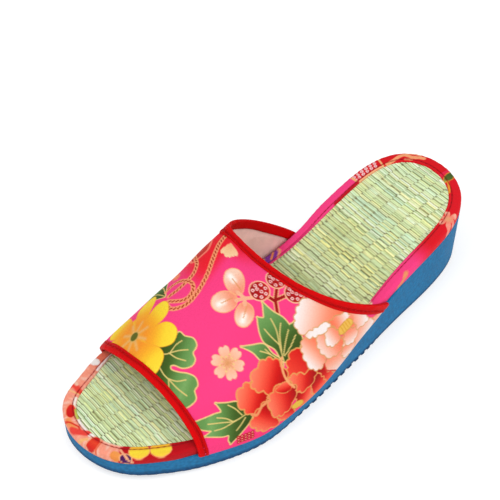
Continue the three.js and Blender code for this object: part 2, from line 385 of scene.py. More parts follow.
def cotton(name):
    """Printed cotton: print, and painted shade along the rim's seam, from the mesh's colours."""
    made, tree, shader = material(name, 0.8, 0.02, 0.12)
    vector = cloth_mm(tree)
    threads = weave_height(tree, vector, 0.62)
    slubs = noise(tree, vector, 1.3, 4.0)
    tint(tree, shader, vertex_colour(tree, "Print"), (threads, 0.93, 1.06), (slubs, 0.84, 1.16))
    roughen(tree, shader, slubs, 0.72, 0.9)
    height = math_node(tree, "ADD", threads, math_node(tree, "MULTIPLY", slubs, 0.6))
    add_bump(tree, shader, height, 0.05)
    return made


def plain_cloth(tree, shader, colour, threads, depth, roughness):
    """Undyed or plain-dyed cloth, a little mottled, over threads of that height."""
    mottle = noise(tree, cloth_mm(tree), 0.25, 4.0)
    tint(tree, shader, colour, (mottle, 0.84, 1.14), (threads, 0.92, 1.04))
    roughen(tree, shader, mottle, roughness - 0.1, roughness + 0.1)
    add_bump(tree, shader, threads, depth)


def lining_material(name, colour):
    made, tree, shader = material(name, 0.9, 0.05, 0.1)
    threads = weave_height(tree, cloth_mm(tree), 0.5)
    plain_cloth(tree, shader, (*linear(colour), 1), threads, 0.05, 0.9)
    return made


def tape_material(name):
    """Twill tape: its colour, painted shade and highlight included, comes from the mesh."""
    made, tree, shader = material(name, 0.6, 0.0, 0.06)
    threads = waves(tree, cloth_mm(tree), 0.55, "DIAGONAL")
    plain_cloth(tree, shader, vertex_colour(tree, "Tape"), threads, 0.06, 0.6)
    return made


def thread_material(name, colour):
    made, tree, shader = material(name, 0.6, 0.0, 0.08)
    twist = waves(tree, object_mm(tree), 0.45, "DIAGONAL")
    tint(tree, shader, (*linear(colour), 1), (twist, 0.8, 1.08))
    add_bump(tree, shader, twist, 0.05)
    return made


def foam_material(name):
    """Moulded EVA foam: fine closed cells and thin level lines from its mould."""
    made, tree, shader = material(name, 0.65, 0.0, 0.1)
    vector = object_mm(tree)
    cells = noise(tree, vector, 0.55, 4.0)
    cloudy = noise(tree, vector, 0.06, 2.0)
    lines = waves(tree, vector, 0.9, "Z", 0.15)
    changes = (cloudy, 0.9, 1.1), (cells, 0.45, 1.55), (lines, 0.95, 1.03)
    tint(tree, shader, vertex_colour(tree, "Foam"), *changes)
    roughen(tree, shader, cells, 0.58, 0.78)
    height = math_node(tree, "ADD", math_node(tree, "MULTIPLY", lines, 0.7), cells)
    add_bump(tree, shader, height, 0.06)
    return made


def rush_material(name):
    """Dried rush: the mesh gives stalk colours and painted groove shade; fibres run along them."""
    made, tree, shader = material(name, 0.55, 0.05, 0.4)
    vector = object_mm(tree)
    fibres = noise(tree, stretched(tree, vector, (0.16, 2.2, 1.0)), 1.0, 3.0)
    hair = noise(tree, stretched(tree, vector, (0.5, 7.0, 1.0)), 1.0, 2.0)
    tint(tree, shader, vertex_colour(tree, "Stalks"), (fibres, 0.78, 1.2), (hair, 0.9, 1.1))
    roughen(tree, shader, fibres, 0.42, 0.7)
    add_bump(tree, shader, hair, 0.05)
    return made


# ------------------------------------------------------------------ the cloth, laid flat
# The vamp is cut from flat cloth. Its flat pattern has u across (lateral side +) and
# v along (heel +), in millimetres, from the toe edge of the crown line.
FLAT_ROWS, FLAT_COLUMNS = 31, 49
RELAX_ROUNDS, RELAX_PUSH = 3000, 1.6


def flatten_vamp():
    """The vamp's grid laid flat, its threads and diagonals pulled towards their real length."""
    rows, columns = np.linspace(0, 1, FLAT_ROWS), np.linspace(0, 1, FLAT_COLUMNS)
    s, t = np.meshgrid(rows, columns, indexing="ij")
    shape = vamp_point(s, t)
    middle = FLAT_COLUMNS // 2
    across = np.zeros(s.shape)
    steps = np.diff(shape, axis=1)
    across[:, 1:] = np.cumsum(np.hypot(steps[..., 0], steps[..., 2]), axis=1)
    across -= across[:, middle:middle + 1]
    flat = np.stack([across, shape[..., 1]], -1).reshape(-1, 2)
    number = np.arange(s.size).reshape(s.shape)
    pairs = [
        (number[:-1], number[1:]),
        (number[:, :-1], number[:, 1:]),
        (number[:-1, :-1], number[1:, 1:]),
        (number[1:, :-1], number[:-1, 1:]),
    ]
    a = np.concatenate([p.ravel() for p, _ in pairs])
    b = np.concatenate([q.ravel() for _, q in pairs])
    shape = shape.reshape(-1, 3)
    length = np.linalg.norm(shape[a] - shape[b], axis=1)
    count = np.bincount(a, minlength=len(flat)) + np.bincount(b, minlength=len(flat))
    for _ in range(RELAX_ROUNDS):
        edge = flat[b] - flat[a]
        now = np.linalg.norm(edge, axis=1)
        pull = (0.5 * (now - length) / now)[:, None] * edge
        sums = [np.bincount(a, p, len(flat)) - np.bincount(b, p, len(flat)) for p in pull.T]
        flat += RELAX_PUSH * np.stack(sums, -1) / count[:, None]
    flat = flat.reshape(*s.shape, 2)
    origin = flat[0, middle].copy()
    ahead = flat[-1, middle] - origin
    turn = np.arctan2(ahead[0], ahead[1])
    cos, sin = np.cos(turn), np.sin(turn)
    return (flat - origin) @ np.array([[cos, sin], [-sin, cos]])


def on_flat(flat, s, t):
    """Places on the flat pattern for places on the vamp."""
    row = np.clip(s, 0, 1) * (FLAT_ROWS - 1)
    column = np.clip(t, 0, 1) * (FLAT_COLUMNS - 1)
    i = np.minimum(row.astype(int), FLAT_ROWS - 2)
    j = np.minimum(column.astype(int), FLAT_COLUMNS - 2)
    p, q = (row - i)[..., None], (column - j)[..., None]
    low = flat[i, j] * (1 - q) + flat[i, j + 1] * q
    high = flat[i + 1, j] * (1 - q) + flat[i + 1, j + 1] * q
    return low * (1 - p) + high * p


# ------------------------------------------------------------------ drawing on cloth
PINK = (252, 64, 133)
ROSE = (252, 50, 112)
GOLD = (243, 206, 132)
PEACH = (250, 178, 138)
RED = (206, 16, 20)
DEEP = (150, 10, 14)
LEAF = (104, 152, 80)
FOREST = (54, 76, 20)
YELLOW = (255, 226, 58)
WHITE = (252, 238, 232)
SALMON = (252, 146, 112)
PURPLE = (112, 58, 150)
SOFT = 0.4
STAMEN_RADIUS = 6  # blossoms larger than this have stamens
UNEDGED_GROWTH = 0.225  # a petal without an edge line is drawn that much larger
VEIN = (226, 200, 120)
LEAF_FADE = (
    (0, FOREST), (0.3, (66, 96, 34)), (0.6, (98, 144, 74)), (0.85, (122, 168, 96)), (1, LEAF),
)
# Half outlines of petals: (place from base to tip, half width), both as shares.
PETAL_FORMS = {
    "full": ((0, 0.3), (0.15, 0.7), (0.4, 1.0), (0.7, 1.0), (0.9, 0.7), (1.0, 0.0)),
    "leaf": ((0, 0.12), (0.2, 0.62), (0.42, 1.0), (0.65, 0.8), (0.86, 0.34), (1.0, 0.0)),
    "notched": ((0, 0.2), (0.3, 0.6), (0.6, 1.0), (0.86, 1.0), (1.0, 0.5), (0.92, 0.0)),
    "long": ((0, 0.35), (0.3, 0.62), (0.6, 0.9), (0.85, 1.0), (0.96, 0.6), (1.0, 0.0)),
}


def through(points, closed=True, per=7):
    """A smooth line through a few points; a point given twice makes a corner."""
    p = np.array(points, float)
    n = len(p)
    w = np.linspace(0, 1, per, endpoint=False)[:, None]
    line = []
    for i in range(n if closed else n - 1):
        four = np.arange(i - 1, i + 3)
        a, b, c, d = p[four % n if closed else np.clip(four, 0, n - 1)]
        bend, swing = 2 * a - 5 * b + 4 * c - d, 3 * b - a - 3 * c + d
        line.append(0.5 * (2 * b + (c - a) * w + bend * w ** 2 + swing * w ** 3))
    line = np.concatenate(line)
    return line if closed else np.vstack([line, p[-1]])


def squared_distance(uv, a, b):
    """From each point to the straight line between a and b."""
    d = b - a
    w = uv - a
    h = np.clip((w @ d) / max(d @ d, 1e-12), 0, 1)
    return ((w - h[:, None] * d) ** 2).sum(1)


def inside_distance(uv, outline):
    """Distance to a closed outline, negative inside it."""
    best = np.full(len(uv), np.inf)
    inside = np.zeros(len(uv), bool)
    for a, b in zip(outline, np.roll(outline, -1, axis=0)):
        best = np.minimum(best, squared_distance(uv, a, b))
        if a[1] != b[1]:
            crosses = (a[1] > uv[:, 1]) != (b[1] > uv[:, 1])
            crossing = a[0] + (uv[:, 1] - a[1]) * (b[0] - a[0]) / (b[1] - a[1])
            inside ^= crosses & (uv[:, 0] < crossing)
    return np.where(inside, -1, 1) * np.sqrt(best)


def petal(base, tip, width, form):
    """Outline of a petal or leaf lobe from its base to its tip."""
    base, tip = np.array(base, float), np.array(tip, float)
    axis = tip - base
    across = np.array([-axis[1], axis[0]]) / np.linalg.norm(axis)
    half = PETAL_FORMS[form]
    side = [base + axis * x + across * (w * width / 2) for x, w in half]
    other = [base + axis * x - across * (w * width / 2) for x, w in half[-2::-1]]
    return through(side + other)


def shade(start, end, stops):
    """A colour that changes along a line from start to end. stops: (place 0 to 1, colour)."""
    start, end = np.array(start, float), np.array(end, float)
    places = [p for p, _ in stops]
    colours = np.array([c for _, c in stops], float)

    def colour(uv):
        w = np.clip((uv - start) @ (end - start) / ((end - start) @ (end - start)), 0, 1)
        return np.stack([np.interp(w, places, colours[:, k]) for k in range(3)], -1)

    return colour


class Cloth:
    """Colours at points of a flat cloth, drawn one shape over another. A colour is a plain
    one or a function of the places it covers; soft is the width of a drawn edge."""

    def __init__(self, uv, base):
        self.uv = uv
        self.rgb = base(uv)

    def _cover(self, near, cover, colour):
        rgb = colour(self.uv[near]) if callable(colour) else np.array(colour, float)
        self.rgb[near] += (rgb - self.rgb[near]) * cover[:, None]

    def _near(self, points, margin):
        lo, hi = points.min(0) - margin, points.max(0) + margin
        return np.nonzero(((self.uv > lo) & (self.uv < hi)).all(1))[0]

    def lay(self, outline, colour, grow=0.0, soft=SOFT):
        """Fill a closed outline, made that much larger all round."""
        near = self._near(outline, grow + soft)
        if len(near):
            d = inside_distance(self.uv[near], outline) - grow
            self._cover(near, smooth(soft / 2, -soft / 2, d), colour)

    def stroke(self, line, width, colour, soft=SOFT):
        line = np.array(line, float)
        near = self._near(line, width + soft)
        if len(near):
            best = np.full(len(near), np.inf)
            for a, b in zip(line[:-1], line[1:]):
                best = np.minimum(best, np.sqrt(squared_distance(self.uv[near], a, b)))
            cover = smooth(width / 2 + soft / 2, width / 2 - soft / 2, best)
            self._cover(near, cover, colour)

    def curve(self, points, width, colour, soft=SOFT):
        """A stroke along a smooth line through a few points."""
        self.stroke(through(points, closed=False), width, colour, soft)

    def dot(self, centre, radius, colour, soft=SOFT):
        centre = np.array([centre], float)
        near = self._near(centre, radius + soft)
        if len(near):
            d = np.linalg.norm(self.uv[near] - centre[0], axis=1) - radius
            self._cover(near, smooth(soft / 2, -soft / 2, d), colour)


def draw_petal(cloth, base, tip, width, stops, form, edge=None, line=0.0):
    """A petal whose colour changes from base to tip, with an edge line laid under it."""
    outline = petal(base, tip, width, form)
    if edge:
        cloth.lay(outline, edge, grow=line)
    cloth.lay(outline, shade(base, tip, stops), grow=0 if edge else UNEDGED_GROWTH)


def ruffled(outline, depth, length):
    """A closed outline with scallops of about that depth and length along it."""
    ahead = np.roll(outline, -1, axis=0) - np.roll(outline, 1, axis=0)
    ahead /= np.maximum(np.linalg.norm(ahead, axis=1, keepdims=True), 1e-9)
    step = np.linalg.norm(np.roll(outline, -1, axis=0) - outline, axis=1)
    along = np.concatenate([[0], np.cumsum(step)[:-1]])
    turn = 2 * np.pi * along / step.sum()
    turns = max(3, round(step.sum() / length))
    swell = np.abs(np.sin(turn * turns / 2 + 0.7 * np.sin(turn * 3 + outline[0, 0]))) - 0.5
    x, y = outline.T
    anticlockwise = np.sign(np.sum(x * np.roll(y, -1) - y * np.roll(x, -1)))
    outward = np.stack([ahead[:, 1], -ahead[:, 0]], -1)
    return outline + anticlockwise * depth * swell[:, None] * outward


def draw_shape(cloth, points, colour, edge, line, ruffle=0.0, length=0.0):
    """A closed smooth form through a few points, with an edge line laid under it."""
    outline = through(points, per=11 if ruffle else 7)
    if ruffle:
        outline = ruffled(outline, ruffle, length)
    cloth.lay(outline, edge, grow=line)
    cloth.lay(outline, colour)


def draw_leaf(cloth, outline, base, tip, veins):
    """A leaf, dark at its base and light towards its tip, edged and veined in gold."""
    draw_shape(cloth, outline, shade(base, tip, LEAF_FADE), GOLD, 0.65)
    for vein in veins:
        cloth.curve(vein, 0.62, VEIN)


def draw_simple_leaf(cloth, base, tip, width):
    """A plain pointed leaf with one vein."""
    base, tip = np.array(base, float), np.array(tip, float)
    draw_petal(cloth, base, tip, width, LEAF_FADE, "leaf", GOLD, 0.6)
    cloth.stroke([base, base + (tip - base) * 0.8], 0.6, VEIN)


def towards(angle):
    return np.array([math.cos(angle), math.sin(angle)])


def draw_berry(cloth, centre, turn):
    """A round red berry with nine pale seeds."""
    centre, radius = np.array(centre, float), 4.7
    cloth.dot(centre, radius + 0.7, (252, 190, 150))
    cloth.dot(centre, radius, shade(centre - radius, centre + radius, ((0, DEEP), (1, RED))))
    ring = [(0.7, k * math.pi / 3.5 + turn) for k in range(7)]
    for far, angle in [(0.2, turn), (0.3, turn + 3)] + ring:
        spot = centre + radius * far * towards(angle)
        cloth.dot(spot, 0.9, (255, 214, 208))
        cloth.dot(spot, 0.4, (196, 30, 40))


def draw_rope(cloth, points):
    """A twisted two-tone cord."""
    path = through(points, closed=False, per=9)
    along = distance_along(path)
    cloth.stroke(path, 2.3, (250, 158, 110))
    for at in np.arange(1.0, along[-1] - 0.5, 2.1):
        place = np.array([np.interp(at, along, values) for values in path.T])
        ahead = np.array([np.interp(at + 0.4, along, values) for values in path.T]) - place
        ahead /= max(np.linalg.norm(ahead), 1e-9)
        tilt = ahead * 0.62 + np.array([-ahead[1], ahead[0]]) * 0.34
        cloth.stroke([place - tilt, place + tilt], 0.62, (158, 34, 8), soft=0.3)


def draw_blossom(cloth, centre, radius, petals, turn, colour=(251, 184, 150), plump=0.6):
    """Notched petals round a soft eye; the larger blossoms have stamens too."""
    centre = np.array(centre, float)
    stops = ((0, (240, 166, 122)), (0.5, colour), (1, (252, 200, 176)))
    for k in range(petals):
        tip = centre + radius * towards(turn + 2 * math.pi * k / petals)
        draw_petal(cloth, centre, tip, radius * plump, stops, "notched", (246, 158, 120), 0.25)
    cloth.dot(centre, radius * 0.22, (240, 166, 120), soft=1.4)
    stamens = 2 * petals if radius > STAMEN_RADIUS else 0
    for k in range(stamens):
        reach = radius * (0.5 if k % 2 else 0.36)
        tip = centre + reach * towards(turn + math.pi * k / petals)
        cloth.stroke([centre, tip], 0.28, (222, 152, 96))
        cloth.dot(tip, 0.42, GOLD, soft=0.3)


def mix(rgb, colour, share):
    """Colours moved towards one colour by a share for each point."""
    return rgb + (np.array(colour) - rgb) * np.clip(share, 0, 1)[:, None]


def vamp_ground(uv):
    """The vamp's ground: pink, rosier on the lateral side and red near the crown."""
    u, v = uv[:, 0], uv[:, 1]
    tone = smooth(15, 75, u - 0.25 * v) * 0.55 + 0.12 * ripple(u * 0.07, v * 0.06, 3)
    glow = smooth(9, 0, u) * smooth(-32, -22, u) * smooth(44, 62, v + 0.3 * u)
    glow = np.maximum(glow, 0.85 * smooth(26, 6, u) * smooth(68, 80, v))
    return mix(mix(np.array(PINK), ROSE, tone), (240, 26, 44), glow)


def draw_yellow_flower(cloth):
    """Seven broad petals round a dark eye, orange within and yellow at their tips."""
    heart = np.array((-14, 14.5))
    fade = (
        (0, (236, 150, 60)), (0.3, (251, 152, 40)), (0.52, (253, 176, 40)),
        (0.74, (254, 214, 50)), (1, YELLOW),
    )
    cloth.dot(heart, 13.0, (252, 180, 44), soft=2.0)
    for outline, tip in (
        (((-16, 12), (-24, 6), (-26, -2), (-20, -8), (-12, -6), (-8, 0), (-9, 8)), (-18, -7)),
        (((-17, 14), (-27, 11.5), (-37, 7), (-36.5, -1), (-28, 0), (-20, 7)), (-37, 3)),
        (((-17, 16), (-26, 23), (-36, 25.5), (-41, 19), (-36, 12), (-25, 12)), (-40, 20)),
        (((-15, 18), (-22, 24), (-27, 30), (-27, 36), (-22, 38.5), (-17, 36.5), (-14.5, 31),
          (-13.3, 24)), (-23, 38)),
        (((-13, 18.5), (-13, 26), (-12, 32), (-9, 35.6), (-5.5, 35.3), (-2.6, 32), (-2.4, 28),
          (-4.5, 23), (-9, 18.5)), (-5, 35)),
        (((-10, 17), (-4.5, 22.5), (-1, 26), (3, 27.2), (7, 26), (9, 22.5), (8.6, 18.5),
          (4, 14.8), (-3, 14)), (8.5, 23.5)),
        (((-10, 12.5), (-3, 13.6), (4, 14.4), (8, 12.8), (9.6, 9), (9.4, 3), (5, -3), (-2, 0),
          (-8, 6)), (9.5, 4)),
    ):
        draw_shape(cloth, outline, shade(heart, tip, fade), (246, 168, 44), 0.3)
    cloth.dot(heart, 6.0, (247, 158, 48), soft=3.0)
    for k in range(8):
        ray = towards(0.1 + 2 * math.pi * k / 8)
        cloth.stroke([heart + ray * 3, heart + ray * 8.2], 1.5, (240, 180, 104), soft=1.8)
    cloth.dot(heart, 3.0, (224, 178, 98), soft=2.0)
    cloth.dot(heart, 2.35, (98, 102, 30), soft=0.7)


def draw_red_peony(cloth):
    """Ruffled petals, deep red where they are hidden and coral at their rims."""
    edge, line = (234, 158, 88), 0.7
    fade = (
        (0, (170, 6, 8)), (0.3, (212, 18, 14)), (0.55, (243, 68, 50)), (0.8, (251, 106, 78)),
        (1, (254, 128, 98)),
    )
    for outline, dark, pale in (
        (((77, 55), (82, 50), (90, 49.5), (98, 51), (100, 58), (94, 61), (86, 60), (80, 58)),
          (80, 54), (99, 56)),
        (((60, 53), (60.5, 47), (63, 43), (67, 40), (72, 46), (75, 53), (68, 54)), (66, 70), (66, 20)),
        (((79, 51), (81, 46), (86, 44.5), (92, 46), (94, 52), (88, 53)), (82, 49), (95, 50)),
        (((81, 44), (79, 39), (77, 36), (82, 35), (88, 36), (91, 42), (86, 43.5)), (78, 37), (89, 42)),
        (((67, 39.5), (69, 43.5), (73, 47), (75.5, 52), (79.5, 51), (81.5, 45.5), (80, 41),
          (75, 38.5)), (80, 50), (70, 38)),
        (((63, 26), (57, 27), (52, 26.5), (50, 23.5), (49.5, 18.5), (52, 15), (57, 14.3),
          (62, 15), (64, 19)), (65, 25), (50, 17)),
        (((64, 25), (66, 23.5), (72, 22.5), (78, 22), (80, 19), (75, 13.5), (70, 11.3), (64, 12),
          (63.5, 18)), (69, 24), (72, 11)),
        (((60, 41.7), (55, 42), (51, 39), (50, 34.5), (50, 30), (52, 26.5), (55, 25), (59, 26.7),
          (64.5, 29.5), (66.5, 35), (66, 39.5)), (66, 38), (50, 30)),
        (((79, 31), (84, 30.5), (87, 28), (84, 24.5), (80, 23), (76, 22)), (79, 31), (83, 22)),
        (((64, 30.5), (65, 35), (68, 38), (74, 38.7), (77, 35), (79, 31), (78.5, 26), (75, 22.3),
          (70, 21.8), (66, 24.5), (64.3, 27.5)), (75, 38), (67, 23)),
    ):
        draw_shape(cloth, outline, shade(dark, pale, fade), edge, line, 1.5, 5.6)
    curl = ((64.8, 31), (65.5, 36), (68, 38), (71.5, 37.5), (70, 33.5))
    draw_shape(cloth, curl, shade((71, 33), (65, 37), fade), edge, 0.4)
    stamens = ((80.3, 31), (81, 34.5), (84, 37), (87, 36.5), (85.5, 33), (83, 31))
    draw_shape(cloth, stamens, (232, 188, 66), (214, 130, 50), 0.4)
    cloth.curve([(57, 45), (60, 41.7), (64, 39.3), (68, 38.3), (73, 38.6)], 1.2, (246, 170, 112))
    cloth.curve([(65, 25.5), (63.6, 21), (64.3, 16.5), (62, 15)], 1.5, (238, 150, 96))


def draw_white_peony(cloth):
    """Ruffled petals, salmon at the heart and white at their rims, round yellow stamens."""
    edge, line = (218, 160, 98), 0.5
    fade = (
        (0, (252, 124, 88)), (0.3, (253, 150, 118)), (0.6, (253, 190, 168)),
        (0.82, (252, 218, 206)), (1, (251, 238, 234)),
    )
    for outline, heart, rim in (
        (((86, 70), (90, 84), (96, 104), (112, 110), (112, 64), (99, 61), (90, 62)), (84, 72), (112, 76)),
        (((84, 68), (86, 76), (92, 78), (99, 74), (98, 65), (91, 59.8), (85, 57.5), (80, 60)),
          (80, 71), (97, 61)),
        (((80, 86), (86, 90), (93, 95), (100, 90), (100, 78), (92, 77), (85, 79)), (80, 78), (99, 90)),
        (((72, 84), (76, 88), (82, 92), (88, 92), (86, 85), (82, 82), (77, 82)), (76, 79), (84, 93)),
        (((48.5, 72), (49.5, 67), (52, 62.5), (56, 60.3), (60, 62), (64, 68), (67, 72), (72, 85),
          (64, 84.5), (56, 82), (50, 77)), (70, 77), (50, 68)),
        (((60.5, 60.5), (62, 56), (65.5, 53.3), (70, 51.5), (75, 51.5), (79, 54), (80, 57.5),
          (76, 61.5), (71, 64), (65, 66)), (70, 63), (70, 52)),
        (((67, 72), (67.5, 78), (71, 84), (76, 84.5), (75.5, 78), (73, 74)), (70, 75), (74, 84)),
        (((80, 84), (84, 83), (87, 79), (86, 74), (82.5, 71.5), (79, 74), (80, 79)), (79, 78), (87, 77)),
        (((66, 68), (67.5, 63), (72, 61), (77, 61), (81.5, 63.5), (84.3, 68), (83, 72.5),
          (79, 73.5), (73, 74.5), (68, 73)), (75, 72), (75, 59)),
        (((68.5, 71), (70.5, 67), (74.5, 66), (78, 68.5), (78.5, 72), (75.5, 74.3), (71.5, 74.5)),
          (74, 76), (73.5, 67)),
        (((86, 71), (89.5, 69), (94, 71), (96, 76), (92, 79), (87.5, 77)), (84, 76), (95, 71)),
        (((79.5, 77), (83, 74.4), (88, 75.4), (90, 79.4), (87, 83.4), (82, 82.6)), (78, 81), (89, 76)),
        (((59.8, 61), (61.5, 65), (64, 71), (66.3, 74), (68, 72.3), (66.5, 67), (63, 62)),
          (52, 56), (63, 62)),
    ):
        draw_shape(cloth, outline, shade(heart, rim, fade), edge, line, 1.1, 5.0)
    cloth.dot((76.4, 84.2), 2.2, SALMON, soft=1.0)
    stamens = ((73.6, 76.2), (77.6, 75.2), (79.2, 83.4), (75, 83.4))
    draw_shape(cloth, stamens, (240, 190, 84), (214, 150, 60), 0.35)
    for k in range(4):
        cloth.stroke([(74, 77.3 + 1.7 * k), (78.3, 76.8 + 1.8 * k)], 0.5, (222, 156, 44))
    cloth.curve([(80, 58), (85, 57), (90, 59.5), (95, 62)], 0.9, (214, 60, 40))


def draw_chrysanthemum(cloth, heart, reach, turn):
    """Three rings of long petals, salmon at the heart and white at their tips."""
    heart = np.array(heart, float)
    fade = ((0, (244, 140, 96)), (0.5, (250, 178, 140)), (0.85, (252, 226, 206)), (1, WHITE))
    for ring, (count, size, width) in enumerate(((26, 1.0, 4.6), (20, 0.74, 3.9), (14, 0.46, 3.2))):
        for k in range(count):
            angle = turn + 2 * math.pi * (k + 0.5 * (ring % 2)) / count
            tip = heart + reach * size * (1 + 0.05 * math.sin(5 * angle)) * towards(angle)
            draw_petal(cloth, heart, tip, width, fade, "long", (228, 180, 130), 0.3)
    cloth.dot(heart, reach * 0.13, YELLOW, soft=1.0)


def draw_medial_side(cloth):
    """A chrysanthemum among leaves, cords and small flowers."""
    draw_chrysanthemum(cloth, (-42, 94), 22, 0.1)
    for tip, width in (((-32, 112), 11), ((-30, 122), 9), ((-40, 130), 10)):
        draw_simple_leaf(cloth, (-50, 118), tip, width)
    draw_blossom(cloth, (-46, 52), 8, 5, 0.4, (255, 120, 84))
    cloth.dot((-46, 52), 2.2, (214, 30, 24), soft=1.2)
    for shift in (0, 9):
        draw_rope(cloth, np.array([(-60, 26), (-50, 24), (-42, 29), (-33, 40)]) + (0, shift))
    fade = ((0, PURPLE), (1, (140, 84, 170)))
    draw_petal(cloth, (-60, 66), (-50, 70), 8, fade, "full", GOLD, 0.6)


def draw_crown(cloth):
    """Ribbons and looped cords over the red part of the ground."""
    for tip, width in (((-38, 51), 9), ((-36, 42), 9)):
        draw_simple_leaf(cloth, (-11, 38.5), tip, width)
    cloth.stroke([(-34, 60), (-14, 51)], 4.5, (250, 140, 96), soft=2.5)
    fold = ((0, (178, 48, 34)), (0.5, (214, 62, 44)), (1, (196, 40, 34)))
    ribbon = (
        (-22, 75), (-15, 79.5), (-10, 77), (-6, 70.5), (-6.6, 66), (-9.5, 61.5), (-15, 64),
        (-21, 69),
    )
    draw_shape(cloth, ribbon, shade((-20, 78), (-8, 62), fold), (255, 128, 106), 1.3)
    draw_blossom(cloth, (-25.4, 90.6), 5.2, 5, 0.3, (253, 206, 168))
    for points in (
        ((-3.5, 50), (-3.2, 54.5), (-5, 59.5), (-8.5, 62.5), (-14, 66), (-20, 67)),
        ((-7.8, 38.8), (-5.5, 43), (-4, 48)),
        ((-6, 36.2), (-2, 37.6), (1.5, 39.8), (3, 43.2), (2.4, 46.6), (0, 49.2), (-3.6, 49.6),
          (-8, 48.4), (-11.3, 45.2), (-12.5, 41)),
        ((-6.5, 35.2), (-2, 33.3), (2, 35.6), (4.6, 40), (5.1, 46), (4.6, 52), (3.5, 58),
          (1.6, 64), (-0.4, 70), (-2.4, 76), (-4, 84)),
        ((-22, 60), (-19, 68), (-18, 78), (-20, 90)),
    ):
        draw_rope(cloth, points)


def draw_round_leaves(cloth):
    """Two leaves with rounded lobes and a deep notch between them."""
    outline = (
        (4, 14.5), (8.6, 20), (9, 25.2), (12.6, 25), (16.6, 26.2), (19.8, 24.4), (20.3, 20.6),
        (23, 18.6), (23.2, 15.4), (20.3, 12.4), (16, 11.4), (14.4, 9.9), (16, 8.5), (20, 9.4),
        (24, 11.2), (28, 11.8), (31, 9.8), (31.4, 6.8), (34.3, 4.4), (34.5, 1.6), (33, -2),
        (28, -7), (16, -5), (8, 0), (6, 8),
    )
    veins = (
        ((7.2, 12.4), (10.5, 14.6), (11.2, 19.5), (12.6, 22.6)),
        ((10.5, 14.6), (14, 18), (17.6, 20.6)),
        ((10.5, 14.6), (15, 14.5), (19.6, 15.8)),
        ((9.5, 6.8), (14, 4.9), (18, 4.2), (24, 3.1), (30, 2.9)),
        ((17, 4.4), (21.5, 5.6), (25, 8.6)),
        ((17.5, 4.2), (19, 2.4), (21.5, -0.5)),
    )
    draw_leaf(cloth, outline, (7, 8), (27, 14), veins)


def draw_salmon_petals(cloth):
    """Three rounded petals on short stalks, each with a pale glint."""
    glow = ((0, (246, 150, 118)), (0.45, (250, 178, 148)), (1, (253, 208, 184)))
    for outline, glint, heart in (
        (((23.5, 57.8), (20.5, 64), (16, 67), (12.4, 66), (11, 62.8), (12.6, 58.8), (16.5, 56),
          (21, 55.6)), (13.8, 62), (22, 59)),
        (((23.2, 54.2), (18.4, 54.8), (14.6, 52.2), (13.3, 48), (15, 44.7), (18.6, 43.7),
          (22.4, 45.6), (24.3, 49.8)), (17.6, 46.8), (21, 53)),
        (((27, 54.7), (31, 55.1), (34, 52.2), (34.8, 48.2), (33.6, 45), (30.6, 44.1),
          (27.6, 46.2), (25.9, 50.4)), (31.4, 46.8), (29, 54)),
    ):
        draw_shape(cloth, outline, shade(heart, glint, glow), (252, 176, 128), 0.5)
        glint, heart = np.array(glint), np.array(heart)
        cloth.stroke([glint, glint + (heart - glint) * 0.36], 2.6, (255, 250, 242), soft=2.6)
        cloth.stroke([glint + (heart - glint) * 0.2, heart], 0.5, (226, 150, 96))
    fork = (26, 56.5)
    for stalk in (((21.5, 57), fork, (28.8, 59)), ((23.3, 53.2), fork), ((27.8, 54), fork)):
        cloth.stroke(stalk, 1.8, (247, 178, 142))


def draw_berries(cloth):
    """Three berries on forked stems."""
    fork = (38.2, 65)
    stems = (((42.6, 60.4), fork), (fork, (35.2, 71)), (fork, (40.6, 70)), ((34.4, 64.3), (38.2, 64.6)))
    for width, colour in ((2.6, (252, 180, 130)), (1.5, (160, 12, 16))):
        for stem in stems:
            cloth.stroke(stem, width, colour)
    draw_berry(cloth, (29.5, 64.2), 0.2)
    draw_berry(cloth, (32.3, 75), 0.7)
    draw_berry(cloth, (43.6, 74.6), 0.4)


